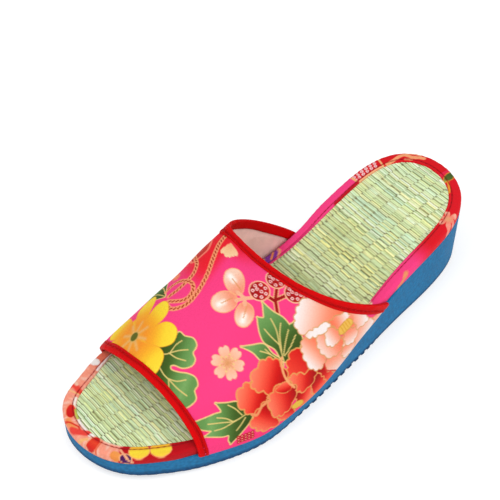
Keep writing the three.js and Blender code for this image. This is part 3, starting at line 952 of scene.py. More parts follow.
def draw_pointed_leaves(cloth):
    """Serrated leaves above and below the red flower."""
    outline = (
        (58, 44), (52, 43.4), (46, 44.2), (41.5, 40), (38.3, 36.8), (38.3, 36.8), (44, 38),
        (51, 37.6), (60, 41),
    )
    veins = (
        ((57, 43.4), (51, 42.4), (46.5, 40.6)),
        ((52, 42.6), (48, 42.8)),
    )
    draw_leaf(cloth, outline, (60, 43), (38, 38), veins)
    outline = (
        (59, 44.2), (52, 46), (46, 45.2), (42, 47), (38.8, 49.8), (36.3, 52.6), (36.3, 52.6),
        (38.6, 54.4), (36.8, 57), (34.2, 60.1), (34.2, 60.1), (40, 59.6), (46, 60.4),
        (50.6, 59.6), (50.6, 59.6), (51.6, 62.4), (51.6, 62.4), (56, 60.6), (60.5, 58),
        (61.5, 50),
    )
    veins = (
        ((59, 44.5), (53, 48.5), (47, 53.5), (41.5, 56.2)),
        ((52, 49), (46.6, 49.4), (42, 50.2)),
        ((55, 47.4), (50, 52.4), (46.6, 57.6)),
        ((57, 46.6), (54, 52), (51.6, 57.6)),
        ((57.8, 46.6), (57.4, 52), (56, 58)),
    )
    draw_leaf(cloth, outline, (63, 50), (31, 58), veins)
    outline = (
        (61, 15.2), (55, 15), (51.4, 14.8), (48, 11.6), (44, 8.4), (44, 8.4), (48.4, 7),
        (46.6, 4), (44, -0.6), (41.4, -5), (41.4, -5), (46, -5.4), (49, -4), (51, -3),
        (50.4, -6.8), (50.4, -6.8), (54, -4.2), (57.4, -1.6), (59.4, 0.6), (61.6, -1.4),
        (64, -2), (64, -2), (63.6, 5), (63.4, 11), (62.4, 15),
    )
    veins = (
        ((59.2, 13.4), (56.6, 7.4), (52, 3), (47.2, -1.6)),
        ((57.8, 11.8), (53, 12), (49, 11.2)),
        ((56.4, 6.8), (52.4, 5.8), (48.6, 3.4)),
        ((57, 8), (54.6, 1.8), (52, -2)),
        ((60, 12), (60.6, 8), (60.8, 4.6)),
    )
    draw_leaf(cloth, outline, (61, 13), (45, -2), veins)


def draw_dotted_cord(cloth):
    """Three rows of ringed dots below the lower leaf."""
    for k in range(5):
        for side in (-1, 0, 1):
            place = (65.8 + 1.1 * k + 1.35 * side, 1.6 + 1.55 * k - 0.95 * side)
            cloth.dot(place, 0.95, (178, 14, 18), soft=0.3)
            cloth.dot(place, 0.45, (250, 150, 130), soft=0.4)


def draw_vamp(uv):
    """The whole print of the vamp, from the back of the picture to its front."""
    cloth = Cloth(uv, vamp_ground)
    draw_medial_side(cloth)
    draw_crown(cloth)
    draw_round_leaves(cloth)
    draw_yellow_flower(cloth)
    draw_salmon_petals(cloth)
    draw_berries(cloth)
    draw_blossom(cloth, (37, 26.6), 8.0, 6, 0.42)
    fade = ((0, (250, 178, 130)), (1, (253, 214, 164)))
    for tip in ((3.4, 70.8), (6.6, 70.4), (8.8, 73.2)):
        draw_petal(cloth, (2.2, 78.6), tip, 3.5, fade, "notched")
    draw_pointed_leaves(cloth)
    draw_red_peony(cloth)
    draw_white_peony(cloth)
    draw_dotted_cord(cloth)
    return cloth.rgb


# ------------------------------------------------------------------ pieces: the vamp
FLAT = flatten_vamp()
BACK_STEP = 12
EDGE_HIDDEN = 1.2  # how far the cloth's edges lie inside the bindings


def even_t(columns):
    """Values of t that are evenly spaced in millimetres half way along the vamp."""
    t = np.linspace(0, 1, 601)
    length = distance_along(vamp_point(0.5, t))
    spread = np.interp(np.linspace(0, length[-1], columns + 1), length, t)
    spread[0], spread[-1] = 0.0, 1.0
    return spread


def shell(name, rows, columns, relief, back_out, cad_node, surface):
    """A closed sheet over the vamp: a fine outer face, an inner face with one row for
    every BACK_STEP outer rows, and the edges between them."""
    t = even_t(columns)
    first, last = edge_s(0, t, EDGE_HIDDEN), edge_s(1, t, EDGE_HIDDEN)
    share = np.linspace(0, 1, rows + 1)[:, None]
    s = first + (last - first) * share
    t = np.broadcast_to(t, s.shape)
    back_s, back_t = s[::BACK_STEP], t[::BACK_STEP]
    out = off_vamp(s, t, relief(s, t))
    back = off_vamp(back_s, back_t, np.full(back_s.shape, back_out))
    n, m, k = rows + 1, columns + 1, len(back_s)
    start = n * m
    faces = grid_faces(n, m) + grid_faces(k, m, start, flip=True)
    for j in range(columns):
        faces.append((j + 1, j, start + j, start + j + 1))
        a, b = (n - 1) * m + j, start + (k - 1) * m + j
        faces.append((a, a + 1, b + 1, b))
    for i in range(k - 1):
        for column in (0, m - 1):
            fine = [(i * BACK_STEP + x) * m + column for x in range(BACK_STEP + 1)]
            low, high = start + i * m + column, start + (i + 1) * m + column
            faces.append([*fine, high, low] if column == 0 else [low, high, *fine[::-1]])
    points = np.concatenate([out.reshape(-1, 3), back.reshape(-1, 3)])
    piece = new_piece(name, points, faces, cad_node, surface)
    both = (s, t), (back_s, back_t)
    uv = np.concatenate([on_flat(FLAT, *places).reshape(-1, 2) for places in both])
    cloth_map(piece, uv)
    return piece, uv


def vamp_relief(s, t):
    """Slight unevenness of padded cloth, and small puckers beside the bindings."""
    soft = 0.16 * ripple(s * 7, t * 11, 5)
    puckers = np.exp(-s / 0.1) + np.exp(-(1 - s) / 0.1)
    return soft + 0.14 * puckers * ripple(t * 60, s * 3, 6)


def flat_relief(s, t):
    """The lining lies at one depth below the vamp's outer face."""
    return np.full(s.shape, LINING_OUT)


ROWS, COLUMNS = ((288, 310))
print_cotton = cotton("print_cotton")
vamp_cloth, cloth_uv = shell(
    "vamp_cloth", ROWS, COLUMNS, vamp_relief, CLOTH_BACK, "vamp", print_cotton
)
paint(vamp_cloth, "Print", draw_vamp(cloth_uv))
lining_cotton = lining_material("lining_cotton", (255, 204, 194))
shell("vamp_lining", 48, 96, flat_relief, LINING_BACK, None, lining_cotton)


# ------------------------------------------------------------------ pieces: bindings
RED_TAPE = (218, 0, 4)


def tape_profile():
    """Section of the folded tape: (distance from the edge, height off the cloth), from its
    outer hem over the fold to its inner hem and back between cloth and tape."""
    inside, fold = LINING_BACK - TAPE_OUT, 1.0
    middle, half = (TAPE_OUT + inside) / 2, (TAPE_OUT - inside) / 2
    hem = TAPE_WIDTH - 0.5
    profile = [(TAPE_WIDTH, 0.03), (TAPE_WIDTH + 0.1, TAPE_OUT * 0.55), (hem, TAPE_OUT * 0.95)]
    for along in np.linspace(TAPE_WIDTH - 1, fold, 16):
        dent = STITCH_DENT * math.exp(-((along - STITCH_AT) / 0.5) ** 2)
        profile.append((along, TAPE_OUT - dent))
    for turn in np.linspace(0.2, math.pi - 0.2, 11):
        profile.append((fold - fold * math.sin(turn), middle + half * math.cos(turn)))
    profile += [(along, inside) for along in np.linspace(fold, hem, 6)]
    profile += [(TAPE_WIDTH, inside + 0.2), (TAPE_WIDTH, LINING_BACK - 0.03)]
    profile += [(1, LINING_BACK - 0.03), (1, 0.03)]
    return profile


def binding(name, edge, cad_node, surface, seed):
    """Bias tape folded over one edge of the vamp, slightly dented by its row of stitches."""
    profile = tape_profile()
    count = 300
    t = np.linspace(0, 1, count + 1)
    loops = []
    for along, out in profile:
        pucker = 0.07 * ripple(t * 95, along * 0.4, seed) * (1 if out > 0.1 else 0.2)
        drift = 0.16 * ripple(t * 14, 0, seed + 1) * (along / TAPE_WIDTH)
        loops.append(off_vamp(edge_s(edge, t, along + drift), t, np.full(t.shape, out) + pucker))
    points = np.stack(loops, 1)
    size = len(profile)
    faces = [f[::-1] for f in grid_faces(count + 1, size, flip=edge == 1, wrap=True)]
    near_end, far_end = list(range(size)), [count * size + k for k in range(size)]
    faces += [near_end, far_end[::-1]] if edge == 0 else [near_end[::-1], far_end]
    piece = new_piece(name, points, faces, cad_node, surface)
    on_fold = points[:, 5]
    across = np.array([a if o > 0 else 2 * TAPE_WIDTH - a for a, o in profile])
    cloth_map(piece, np.stack(np.meshgrid(across, distance_along(on_fold)), -1).reshape(-1, 2))
    # painted shade darkens the tape along its stitched dent, and a painted highlight lightens it along
    # the fold
    seam_shade = np.exp(-((across - STITCH_AT) / 0.55) ** 2)
    tone = 0.96 - 0.18 * seam_shade + 0.08 * np.exp(-(across / 1.6) ** 2)
    paint(piece, "Tape", np.tile(np.array(RED_TAPE) * tone[:, None], (count + 1, 1)))


def stitch_row(name, places, thread, length, radius, seed):
    """Small stitches, one at each (centre, direction, up)."""
    points, faces = [], []
    rings, around = 5, 6
    rng = np.random.default_rng(seed)
    for centre, ahead, up in places:
        side = np.cross(ahead, up)
        sway = rng.normal(0, 0.06)
        start = len(points)
        for w in np.linspace(-1, 1, rings):
            fat = radius * math.sqrt(max(1 - w * w * 0.92, 0.02))
            rise = radius * (0.75 - 1.1 * w * w)
            middle = centre + ahead * (w * length / 2) + side * sway * w + up * rise
            for j in range(around):
                angle = 2 * math.pi * j / around
                points.append(middle + side * fat * math.cos(angle) + up * fat * math.sin(angle))
        faces += grid_faces(rings, around, start, wrap=True)
        faces.append(range(start + around - 1, start - 1, -1))
        faces.append(range(start + (rings - 1) * around, start + rings * around))
    new_piece(name, np.array(points), faces, None, thread)


def along_line(points, normals, spacing, first=1.5):
    """Evenly spaced (place, direction, up) on a line of points."""
    distance = distance_along(points)

    def pick(values, at):
        return np.array([np.interp(at, distance, column) for column in values.T])

    made = []
    for at in np.arange(first, distance[-1] - first, spacing):
        ahead = pick(points, at + 0.5) - pick(points, at - 0.5)
        ahead /= np.linalg.norm(ahead)
        up = pick(normals, at)
        up = up - ahead * (up @ ahead)
        made.append((pick(points, at), ahead, up / np.linalg.norm(up)))
    return made


tape = tape_material("red_tape")
red_thread = thread_material("red_thread", (208, 4, 8))
for edge, place in enumerate(("toe", "collar")):
    binding(place + "_tape", edge, place + "_binding", tape, seed=21 + 4 * edge)
for edge, place in enumerate(("toe", "collar")):
    t = np.linspace(0.004, 0.996, 400)
    line_s = edge_s(edge, t, STITCH_AT)
    out = TAPE_OUT - STITCH_DENT
    line = off_vamp(line_s, t, np.full(t.shape, out))
    normal = off_vamp(line_s, t, np.full(t.shape, out + 1)) - line
    places = along_line(line, normal, 3.1)
    name, seed = place + "_stitches", 31 + edge
    stitch_row(name, places, red_thread, length=2.3, radius=0.2, seed=seed)


# ------------------------------------------------------------------ pieces: footbed
def room(y, side):
    """How far the footbed's edge draws in to leave room for the vamp."""
    column = ["medial_y" if x < 0 else "lateral_y" for x in np.atleast_1d(side)]
    toe = np.array([VAMP[c][0] for c in column])
    collar = np.array([VAMP[c][2] for c in column])
    return 1.15 * smooth(-12, 1, y - toe) * smooth(20, -1, y - collar)


def rim_ground(uv):
    """The wrapped edge's cloth: pink, with a red ground at the toe and round the heel."""
    a = uv[:, 0]
    rgb = np.tile(np.array(PINK, float), (len(uv), 1))
    for start, end, fade, colour in (
        (-72, -44, 3, (240, 124, 96)), (-48, 34, 2, (252, 156, 130)), (26, 66, 1, (192, 8, 22)),
        (226, 292, 9, (226, 20, 34)), (-292, -228, 1.5, (222, 18, 30)),
    ):
        cover = smooth(start - fade, start + fade, a) * smooth(end + fade, end - fade, a)
        rgb = mix(rgb, colour, cover)
    wash = smooth(-0.4, 1.6, ripple(a * 0.7, uv[:, 1] * 0.5, 71))
    return mix(rgb, (254, 206, 186), 0.75 * wash * smooth(-48, -44, a) * smooth(28, 24, a))


def draw_strokes(cloth, rows):
    """Plain strokes of the wrapped edge: (width, softness, colour, points...) for each."""
    for width, soft, colour, *points in rows:
        cloth.stroke(points, width, colour, soft)


def draw_rim_toe(cloth):
    """Scraps of petal and leaf round the toe; on its lateral side a purple bud and two
    yellow petals on red."""
    draw_strokes(cloth, (
        (4.4, SOFT, (255, 250, 246), (-51, -4), (-50.6, 2.6)),
        (1.7, 0.6, (255, 238, 232), (-72, 5.9), (-47, 6)),
        (3.2, 1.6, (240, 70, 56), (-34, -4), (-32.6, 3), (-30, 6.6)),
        (2.0, 1.2, (250, 196, 170), (-37, -3), (-34, 2.4)),
        (0.8, SOFT, (252, 190, 120), (-29, 1), (-28.4, 7)),
        (1.8, 1.2, (255, 244, 232), (-25, 5.8), (-18, 6)),
    ))
    fade = ((0, (230, 40, 30)), (1, (206, 20, 22)))
    draw_petal(cloth, (-19, 4.6), (-10, 3.4), 4.2, fade, "full", (250, 150, 90), 0.3)
    draw_strokes(cloth, (
        (1.6, 0.8, (196, 206, 90), (-15, 6.6), (-8, 6.2)),
        (2.2, 1.2, (255, 244, 236), (-6, 6.2), (3, 6)),
        (2.6, 1.8, (246, 150, 84), (-9, 1.4), (-2, 1.8)),
        (0.9, 0.6, (226, 60, 40), (-12, -3), (-7, 2), (-2.4, 4.2), (2, 3)),
        (3.2, 1.2, (240, 70, 60), (-3, 0.4), (1, 2.6), (5, 5.6)),
        (1.6, 0.8, (250, 186, 120), (3, -2), (7, 2.4)),
    ))
    fade = ((0, (206, 16, 24)), (0.6, (238, 70, 40)), (1, RED))
    draw_petal(cloth, (11, -2.5), (11.5, 6.6), 5.4, fade, "full", PEACH, 0.5)
    draw_strokes(cloth, (
        (2.2, SOFT, (255, 246, 240), (6.4, 5.2), (8.0, 6.6)),
        (0.9, 0.5, (238, 104, 70), (14.4, -2), (14.6, 6)),
        (1.0, 0.8, (253, 210, 184), (15, 6.4), (27, 6.4)),
    ))
    draw_petal(cloth, (24, -2), (25.5, 2.4), 5, ((0, (240, 140, 60)), (1, (246, 160, 84))), "full")
    fade = ((0, (84, 22, 100)), (1, (70, 14, 80)))
    draw_petal(cloth, (29.5, -3), (30, 1.8), 5.2, fade, "full", (250, 180, 130), 0.6)
    cloth.stroke([(26.5, 4), (33, -2.5)], 1.2, (250, 176, 132))
    fade = ((0, (250, 170, 60)), (0.3, (248, 190, 50)), (0.6, YELLOW), (1, (250, 206, 60)))
    for middle in (36, 46.8):
        tip = (middle + 0.4, 0.2)
        draw_petal(cloth, (middle, 8.2), tip, 9.8, fade, "full", (252, 176, 110), 0.35)


def draw_rim_heel(cloth):
    """Lateral side: a blossom and a leaf. Medial side: a cord and a dotted band."""
    cloth.dot((185.5, 5.6), 2.4, (255, 236, 190), soft=1.0)
    cloth.stroke([(203, -4), (211, 0.6)], 2.6, (238, 146, 100), soft=1.0)
    draw_blossom(cloth, (252.5, 3.0), 5.6, 6, 0.5, (250, 140, 118), 0.42)
    cloth.stroke([(246, -3.5), (248, 0)], 3.2, (252, 148, 130))
    fade = ((0, (232, 196, 80)), (0.3, (88, 104, 40)), (1, (58, 84, 34)))
    draw_petal(cloth, (284, 7.4), (289.6, -1.6), 4.6, fade, "leaf", (240, 150, 50), 0.5)
    cord = ((-275, 2.6), (-268, 3.6), (-262, 2.4), (-255, 5.2), (-250, 6.2))
    draw_strokes(cloth, (
        (1.3, 0.6, (244, 160, 50), (274, 6.5), (279, 5.8), (284, 5.2)),
        (2.2, SOFT, (250, 168, 116), *through(cord, closed=False)),
        (2.4, 0.8, (253, 190, 150), (-272, 0.6), (-264, 0.4)),
        (1.4, SOFT, (250, 160, 110), (-268, 5.4), (-263, 5.4)),
        (1.0, SOFT, (250, 190, 130), (-247.5, -4), (-247, 7)),
    ))
    for k in range(6):
        for level in (0.2, 2.2, 4.2):
            place = (-244.6 + 3.1 * k + 0.4 * level, level)
            cloth.dot(place, 0.95, (255, 226, 226))
            cloth.dot(place, 0.32, (214, 40, 50))
    draw_strokes(cloth, (
        (0.9, SOFT, (250, 196, 140), (-247, 6.4), (-226, 6.4)),
        (1.2, SOFT, (250, 180, 120), (-226.5, -4), (-227.5, 7)),
        (1.8, 0.8, (196, 16, 30), (-227, 6), (-208, 6.4)),
    ))


def draw_rim_sides(cloth):
    """The stretches beside the vamp, mostly hidden by it."""
    draw_strokes(cloth, (
        (6.4, 1.6, (132, 56, 158), (-166, 2), (-150, 2.4)),
        (1.5, 0.7, (250, 160, 120), (-169.5, -2), (-169, 3), (-166, 6)),
        (1.2, 0.6, (246, 150, 80), (-166, 1), (-163, 4)),
    ))
    cloth.dot((-159, 1.6), 1.2, (230, 200, 90), soft=0.8)
    draw_blossom(cloth, (110, 3), 5, 5, 0.2)
    for base, tip in (((140, 6), (152, 2)), ((-110, 6), (-98, 2))):
        draw_petal(cloth, base, tip, 6, ((0, FOREST), (1, LEAF)), "leaf", GOLD, 0.5)


def rim_print_and_shade(a, b):
    """Colours of the wrapped edge: a is the distance round it from the toe tip, the
    lateral side +; b is the distance in from its outer edge."""
    cloth = Cloth(np.stack([a, b], -1), rim_ground)
    draw_rim_toe(cloth)
    draw_rim_heel(cloth)
    draw_rim_sides(cloth)
    # painted shade darkens the print along the stitched groove of the seam
    seam_shade = np.exp(-((b - RIM_STITCH) / 0.32) ** 2)[:, None]
    cloth.rgb += (cloth.rgb * (0.72, 0.5, 0.5) - cloth.rgb) * seam_shade * 0.8
    return cloth.rgb


def rim_profile():
    """Section of the wrapped edge: (distance in, height over the sole), from its outer
    foot over its rounded edge and its seam to its inner foot."""
    profile = [(0.0, 0.0), (-0.05, 1.2), (0.0, 2.6)]
    round_in, round_up = 1.7, 1.75
    for turn in np.linspace(0.25, math.pi / 2, 7):
        height = RIM_TOP - round_up + round_up * math.sin(turn)
        profile.append((round_in - round_in * math.cos(turn), height))
    for inset in np.linspace(2.1, RIM_WIDTH - 0.3, 15):
        dome = 0.12 * math.sin(math.pi * (inset - round_in) / 5)
        dent = 0.32 * math.exp(-((inset - RIM_STITCH) / 0.45) ** 2)
        profile.append((inset, RIM_TOP + dome - dent))
    inner = RIM_WIDTH + 0.15, RIM_WIDTH + 0.25, RIM_WIDTH + 0.1
    return profile + list(zip(inner, (4.75, 4.2, 0.3)))


def rim():
    """The printed cloth wrapped round the footbed's edge, and its row of stitches."""
    count = 420
    size = 2 * count
    points, inward, side = outline_loop(count)
    y = points[:, 1]
    closed = distance_along(np.vstack([points, points[:1]]))
    a, total = closed[:-1], closed[-1]
    profile = rim_profile()
    loops = []
    for inset, height in profile:
        pucker = 0.09 * ripple(a * 0.55, inset * 0.35, 41)
        drawn_in = room(y, side) if inset < RIM_WIDTH - 0.5 else 0 * y
        fading = np.clip(1 - inset / RIM_WIDTH, 0, 1) ** 0.35
        loop = points + inward * (inset + drawn_in * fading)[:, None]
        level = sole_top(loop[:, 1]) + height + pucker * (height > 3)
        loops.append(np.column_stack([loop, level]))
    faces = grid_faces(len(profile), size, wrap=True)
    last = (len(profile) - 1) * size
    faces += [(j, last + j, last + (j + 1) % size, (j + 1) % size) for j in range(size)]
    piece = new_piece(
        "rim_cloth", np.concatenate(loops), faces, "footbed_rim", cotton("rim_cotton")
    )
    b = np.repeat([x if h > 3 else h - 3.4 for x, h in profile], size)  # down its foot, b < 0
    signed = np.where(a > total / 2, a - total, a)
    paint(piece, "Print", rim_print_and_shade(np.tile(signed, len(profile)), b))
    cloth_map(piece, np.stack([np.tile(a, len(profile)), b], -1))
    edge = points + inward * RIM_STITCH
    line = np.column_stack([edge, sole_top(edge[:, 1]) + RIM_SEAM])
    line = np.vstack([line, line[:1]])
    up = np.tile((0.0, 0.0, 1.0), (len(line), 1))
    places = along_line(line, up, RIM_SPACING, RIM_SPACING / 2)
    dark_thread = thread_material("dark_thread", (176, 20, 40))
    length = RIM_SPACING - 0.7
    stitch_row("rim_stitches", places, dark_thread, length, radius=0.13, seed=51)


rim()


# More stalks and more cells between warp threads than the panel has, both counted from
# outside it.
STALKS, CELLS, FIRST_PAIR = 1200, 101, 250
PALETTE = np.array([
    (212, 224, 166), (222, 234, 176), (200, 216, 158), (216, 224, 150), (236, 242, 196),
    (204, 214, 146), (214, 214, 150), (190, 206, 144), (204, 226, 172), (238, 234, 158),
], float)


class Weave:
    """Which stalk covers each place, and where on the stalk the place is."""

    def __init__(self, x, y, rng):
        self.x, self.y, self.rng = x, y, rng
        across = (x + 0.4 * ripple(y * 0.05, 0, 66)) / WARP_PITCH + CELLS // 2
        self.cell = np.floor(across).astype(int)
        self.warp = np.round(across).astype(int)
        # a stalk steps a little up or down the foot where it crosses a warp thread
        drift = 0.08 * ripple(x * 0.08, y * 0.03, 62) + 0.015 * ripple(x * 0.5, y * 0.4, 64)
        drift += 0.09 * ripple(y * 1.3, 0, 65)
        drift += 0.24 * (self.cell % 2)
        drift += rng.uniform(-0.18, 0.18, CELLS)[self.cell]
        drift += 0.12 * ripple(y * 0.1 + self.cell * 3.1, self.cell * 0.9, 67)
        # stalks lie in pairs, finer towards the toe; of each pair one is raised
        pair = PAIR_RATE * (y - 0.0005 * y * y) + drift + FIRST_PAIR
        self.within = pair % 1
        self.raised = self.within < RAISED
        self.stalk = 2 * np.floor(pair).astype(int) + (self.within >= RAISED)
        stagger = np.where(self.stalk % 2 == 0, 0.3, -0.3) + self.per_stalk(-0.2, 0.2)
        self.from_warp = ((across + 0.5) % 1 - 0.5) * WARP_PITCH + stagger

    def per_stalk(self, low, high):
        return self.rng.uniform(low, high, STALKS)[self.stalk]

    def relief(self):
        """Height of the round stalks, nipped in where the warp holds them."""
        centre = np.where(self.raised, RAISED / 2, (1 + RAISED) / 2)
        half = np.where(self.raised, RAISED / 2, (1 - RAISED) / 2)
        round_top = np.sqrt(np.clip(1 - ((self.within - centre) / half) ** 2, 0, 1))
        height = self.per_stalk(-0.08, 0.08) + np.where(self.raised, 0.26, 0.17) * round_top
        return height - 0.1 * np.exp(-(self.from_warp / 0.5) ** 2)

    def stalk_colours(self):
        """Each stalk has its tone, and changes a little from one warp thread to the next."""
        x, y, rng, stalk, cell = self.x, self.y, self.rng, self.stalk, self.cell
        palette = PALETTE.mean(0) + 0.8 * (PALETTE - PALETTE.mean(0))
        tone = palette[rng.integers(0, len(palette), STALKS)][stalk]
        ends = (smooth(45, 90, y) + 0.65 * smooth(-40, -85, y))[..., None]
        tone = tone * ((1.0, 1.02, 1.03) + ends * (0.065, 0.085, 0.18))
        part = rng.normal(0, 1, (STALKS, CELLS - 1))[stalk, cell]
        strip = rng.normal(0, 1, CELLS - 1)[cell]
        streak = ripple(x * 0.5 + stalk * 1.7, stalk * 0.9, 68)
        patch = rng.normal(0, 1, (STALKS // 4, CELLS - 1))[stalk // 8, cell]
        pale = rng.random((STALKS, CELLS - 1))[stalk, cell] < 0.16
        run = (3 * part + 2 * strip + 4 * streak)[..., None] + patch[..., None] * (1.5, 0, -4)
        return tone + (run + pale[..., None] * (16, 14, 4))

    def colours(self):
        """Stalk colours, with painted shade between stalks and where the warp pinches them."""
        y, rng = self.y, self.rng
        rgb = self.stalk_colours()
        open_edge = np.minimum(self.within, 1 - self.within) / PAIR_RATE
        mid_edge = np.abs(self.within - RAISED) / PAIR_RATE
        depth = 1.1 - 0.2 * smooth(55, 90, y) + 0.1 * smooth(-60, -90, y)
        # painted shade in the grooves between the stalks
        groove_shade = depth * self.per_stalk(0.22, 0.55) * np.exp(-(open_edge / 0.27) ** 2)
        groove_shade += self.per_stalk(0.0, 0.24) * np.exp(-(mid_edge / 0.22) ** 2)
        rgb = rgb * (1.02 - groove_shade[..., None] * (0.95, 1.0, 1.2))
        # painted shade in the gaps where the warp threads pinch the stalks
        dark = np.where(rng.random((STALKS, CELLS))[self.stalk, self.warp] < 0.75, 1.0, 0.15)
        dark *= rng.uniform(0.4, 1, CELLS)[self.warp]
        warp_gap_shade = (np.exp(-(self.from_warp / 0.6) ** 2 - (open_edge / 0.5) ** 2) * dark)[..., None]
        return rgb * (1 - warp_gap_shade) + np.array((92, 80, 48)) * warp_gap_shade


def rush_panel():
    """Woven rush: round stalks laid across the foot, gathered where the hidden warp runs."""
    count, columns = ((1150, 78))
    points, inward, _ = outline_loop(count)
    loop = points + inward * (RIM_WIDTH - RUSH_TUCK)
    lateral, medial = loop[:count + 1], np.vstack([loop[:1], loop[:count - 1:-1]])
    share = np.linspace(0, 1, columns + 1)
    grid = medial[:, None] * (1 - share[None, :, None]) + lateral[:, None] * share[None, :, None]
    x, y = grid[..., 0], grid[..., 1]
    weave = Weave(x, y, np.random.default_rng(61))
    top = along_last("footbed", y) - RUSH_DROP - RUSH_ROOM + weave.relief()
    surface = np.stack([x, y, top], -1).reshape(-1, 3)
    n, m = count + 1, columns + 1
    sides = [(x[:, k], y[:, k], sole_top(y[:, k]) + GAP) for k in (0, -1)]
    under = np.stack([np.stack(side, -1) for side in sides], 1).reshape(-1, 3)
    start = n * m
    faces = grid_faces(n, m)
    for i in range(n - 1):
        low, high = start + 2 * i, start + 2 * (i + 1)
        faces.append((low, high, high + 1, low + 1))
        faces.append((i * m, (i + 1) * m, high, low))
        faces.append(((i + 1) * m + columns, i * m + columns, low + 1, high + 1))
    faces.append((*range(columns, -1, -1), start, start + 1))
    faces.append((*range((n - 1) * m, n * m), start + 2 * n - 1, start + 2 * n - 2))
    verts = np.concatenate([surface, under])
    stalks = rush_material("rush_stalks")
    piece = new_piece("rush_panel", verts, faces, "rush_insole", stalks)
    under_rgb = np.tile((150, 150, 100), (len(under), 1))
    paint(piece, "Stalks", np.concatenate([weave.colours().reshape(-1, 3), under_rgb]))


rush_panel()


# ------------------------------------------------------------------ pieces: the sole
BLUE = (32, 112, 160)
NAVY = (26, 78, 118)


def tread_depth(x, y):
    """Zigzag ribs across the foot: 0 on a rib, up to 1 in the groove between ribs."""
    fold = np.abs(((x + 200) / ZIGZAG) % 2 - 1)
    phase = (y + fold * ZIGZAG * 0.62) / RIB_PITCH % 1
    return smooth(0.5, 0.64, phase) * smooth(1.0, 0.88, phase)


def sole_loops(points, inward):
    """Loops round the sole from its upper lip down the wall and the bevel to the foot."""
    y = points[:, 1]
    top, foot, inset = sole_top(y), sole_foot(y), sole_inset(y)
    loops = [
        np.column_stack([points + inward * drawn_in, top - drop])
        for drawn_in, drop in ((1.4, 0.05), (0.55, 0.12), (0.14, 0.42))
    ]
    wall = top - 0.9 - foot - CHAMFER
    reach = np.minimum(1 + 0.7 * smooth(-20, -90, y), wall * 0.44 / BAND[0])
    heights = [wall * up for up in np.linspace(1, 0.48, 10)] + [h * reach for h in BAND]
    for h in heights:
        drawn_in = inset * (1 - h / wall) ** 1.15 + 0.05
        loops.append(np.column_stack([points + inward * drawn_in[:, None], foot + CHAMFER + h]))
    tread = tread_depth(points[:, 0], y)
    groove = RIB_DEPTH * tread
    # the ribs' ends stand out past the bevel, most at the waist
    rib_end = (1 - tread) * smooth(46, 26, y) * smooth(-80, -50, y)
    rib_end *= 0.25 + 0.75 * smooth(-40, -10, y)
    for drawn_in, height in (
        (inset + 0.45 - 0.75 * rib_end, foot + 0.42 + groove * 0.75),
        (inset + CHAMFER - 0.9 * rib_end, foot + groove),
    ):
        loops.append(np.column_stack([points + inward * drawn_in[:, None], height]))
    return loops


def sole():
    """The foam wedge: its wall, the ribbed underside and a plain top below the footbed."""
    count, columns = ((640, 84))
    size = 2 * count
    points, inward, _ = outline_loop(count)
    loops = sole_loops(points, inward)
    faces = [f[::-1] for f in grid_faces(len(loops), size, wrap=True)]
    # the wall's lowest loops darken step by step into the tread's own navy; the darkening is partly
    # painted shade along the lower edge
    low = ((34, 114, 162), (24, 92, 138), (18, 76, 120), (14, 62, 104), (13, 56, 96), NAVY)
    tones = [np.tile(BLUE, (size * (len(loops) - len(low)), 1))]
    tones += [np.tile(tone, (size, 1)) for tone in low]
    # underside: rows across the foot between the two sides of the last loop
    foot_loop = loops[-1][:, :2]
    last = (len(loops) - 1) * size
    lateral = list(range(count + 1))
    medial = [0, *range(size - 1, count - 1, -1)]
    share = np.linspace(0, 1, columns + 1)[None, 1:-1, None]
    left, right = foot_loop[medial], foot_loop[lateral]
    inner = left[1:-1, None] * (1 - share) + right[1:-1, None] * share
    x, y = inner[..., 0], inner[..., 1]
    depth = tread_depth(x, y)
    start, width = len(loops) * size, columns - 1
    under = np.stack([x, y, sole_foot(y) + RIB_DEPTH * depth], -1).reshape(-1, 3)
    depth = depth.reshape(-1, 1)
    # painted shade darkens the grooves between the ribs, and a painted highlight lightens the ribs'
    # slopes
    rib_highlight = np.clip(1 - np.abs(depth - 0.5) * 2, 0, 1)
    tones.append(np.array(NAVY) + (np.array((8, 36, 70)) - np.array(NAVY)) * depth + 44 * rib_highlight)

    def row(i):
        own = range(start + (i - 1) * width, start + i * width)
        return [last + medial[i], *own, last + lateral[i]]

    line = row(1)
    faces += [(last, p, q) for p, q in zip(line[:-1], line[1:])]
    for i in range(1, count - 1):
        near, far = row(i), row(i + 1)
        faces += zip(near[:-1], far[:-1], far[1:], near[1:])
    line = row(count - 1)
    faces += [(last + count, q, p) for p, q in zip(line[:-1], line[1:])]
    # upper side, hidden under the footbed
    faces.append((0, 1, size - 1))
    faces += [(i, i + 1, medial[i + 1], medial[i]) for i in range(1, count - 1)]
    faces.append((count - 1, count, count + 1))
    eva = foam_material("eva_foam")
    verts = np.concatenate([*loops, under])
    piece = new_piece("foam_sole", verts, faces, "sole", eva)
    paint(piece, "Foam", np.concatenate(tones))


sole()

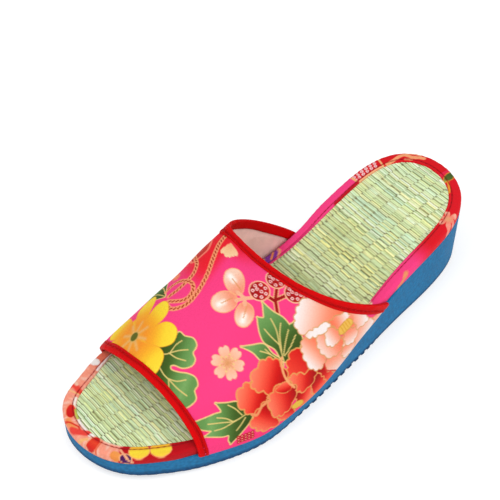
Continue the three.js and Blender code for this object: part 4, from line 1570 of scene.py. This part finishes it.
# ------------------------------------------------------------------ studio
floor_mesh = bpy.data.meshes.new("floor")
floor_mesh.from_pydata([(-3, -3, 0), (3, -3, 0), (3, 3, 0), (-3, 3, 0)], [], [(0, 1, 2, 3)])
floor = bpy.data.objects.new("floor", floor_mesh)
bpy.context.scene.collection.objects.link(floor)
floor_material, _, floor_shader = material("floor", 0.9, 0.0, 0.1)
floor_shader.inputs["Base Color"].default_value = (0.6, 0.6, 0.6, 1)
floor_shader.inputs["Emission Color"].default_value = (1, 1, 1, 1)
floor_shader.inputs["Emission Strength"].default_value = 0.5
floor_mesh.materials.append(floor_material)

world = bpy.data.worlds.new("studio")
bpy.context.scene.world = world
world.use_nodes = True
world.node_tree.nodes["Background"].inputs["Color"].default_value = (1, 1, 1, 1)
world.node_tree.nodes["Background"].inputs["Strength"].default_value = 0.72


def softbox(name, place, size, power):
    """A round lamp of that width, aimed at the shoe."""
    lamp = bpy.data.lights.new(name, "AREA")
    lamp.shape = "DISK"
    lamp.size = size
    lamp.energy = power
    holder = bpy.data.objects.new(name, lamp)
    holder.location = place
    holder.rotation_mode = "QUATERNION"
    aim = Vector((0, 0, 0.02)) - Vector(place)
    holder.rotation_quaternion = aim.to_track_quat("-Z", "Y")
    bpy.context.scene.collection.objects.link(holder)


softbox("key", (-0.2, -0.75, 1.1), size=0.9, power=6.5)
softbox("fill", (0.9, 0.1, 0.8), size=0.9, power=6.5)
bpy.context.scene.view_settings.view_transform = "Standard"

# Camera: where it stands round the shoe, what it looks at, and its lens.
AZIMUTH, ELEVATION, ROLL = math.radians(51.6), math.radians(47.06), math.radians(-1.38)
TARGET = Vector((-0.05029, 0.01928, 0.015))
DISTANCE = 0.7575
SENSOR, FOCAL = 36, 100.5696  # millimetres
back = Vector((
    math.sin(AZIMUTH) * math.cos(ELEVATION),
    -math.cos(AZIMUTH) * math.cos(ELEVATION),
    math.sin(ELEVATION),
))
right = Vector((math.cos(AZIMUTH), math.sin(AZIMUTH), 0))
up = back.cross(right)
turned_right = right * math.cos(ROLL) + up * math.sin(ROLL)
turned_up = -right * math.sin(ROLL) + up * math.cos(ROLL)
camera_data = bpy.data.cameras.new("camera")
camera_data.lens = FOCAL
camera_data.sensor_width = SENSOR
camera = bpy.data.objects.new("camera", camera_data)
place = TARGET + back * DISTANCE
camera.matrix_world = Matrix((
    (turned_right.x, turned_up.x, back.x, place.x),
    (turned_right.y, turned_up.y, back.y, place.y),
    (turned_right.z, turned_up.z, back.z, place.z),
    (0, 0, 0, 1),
))
bpy.context.scene.collection.objects.link(camera)
bpy.context.scene.camera = camera
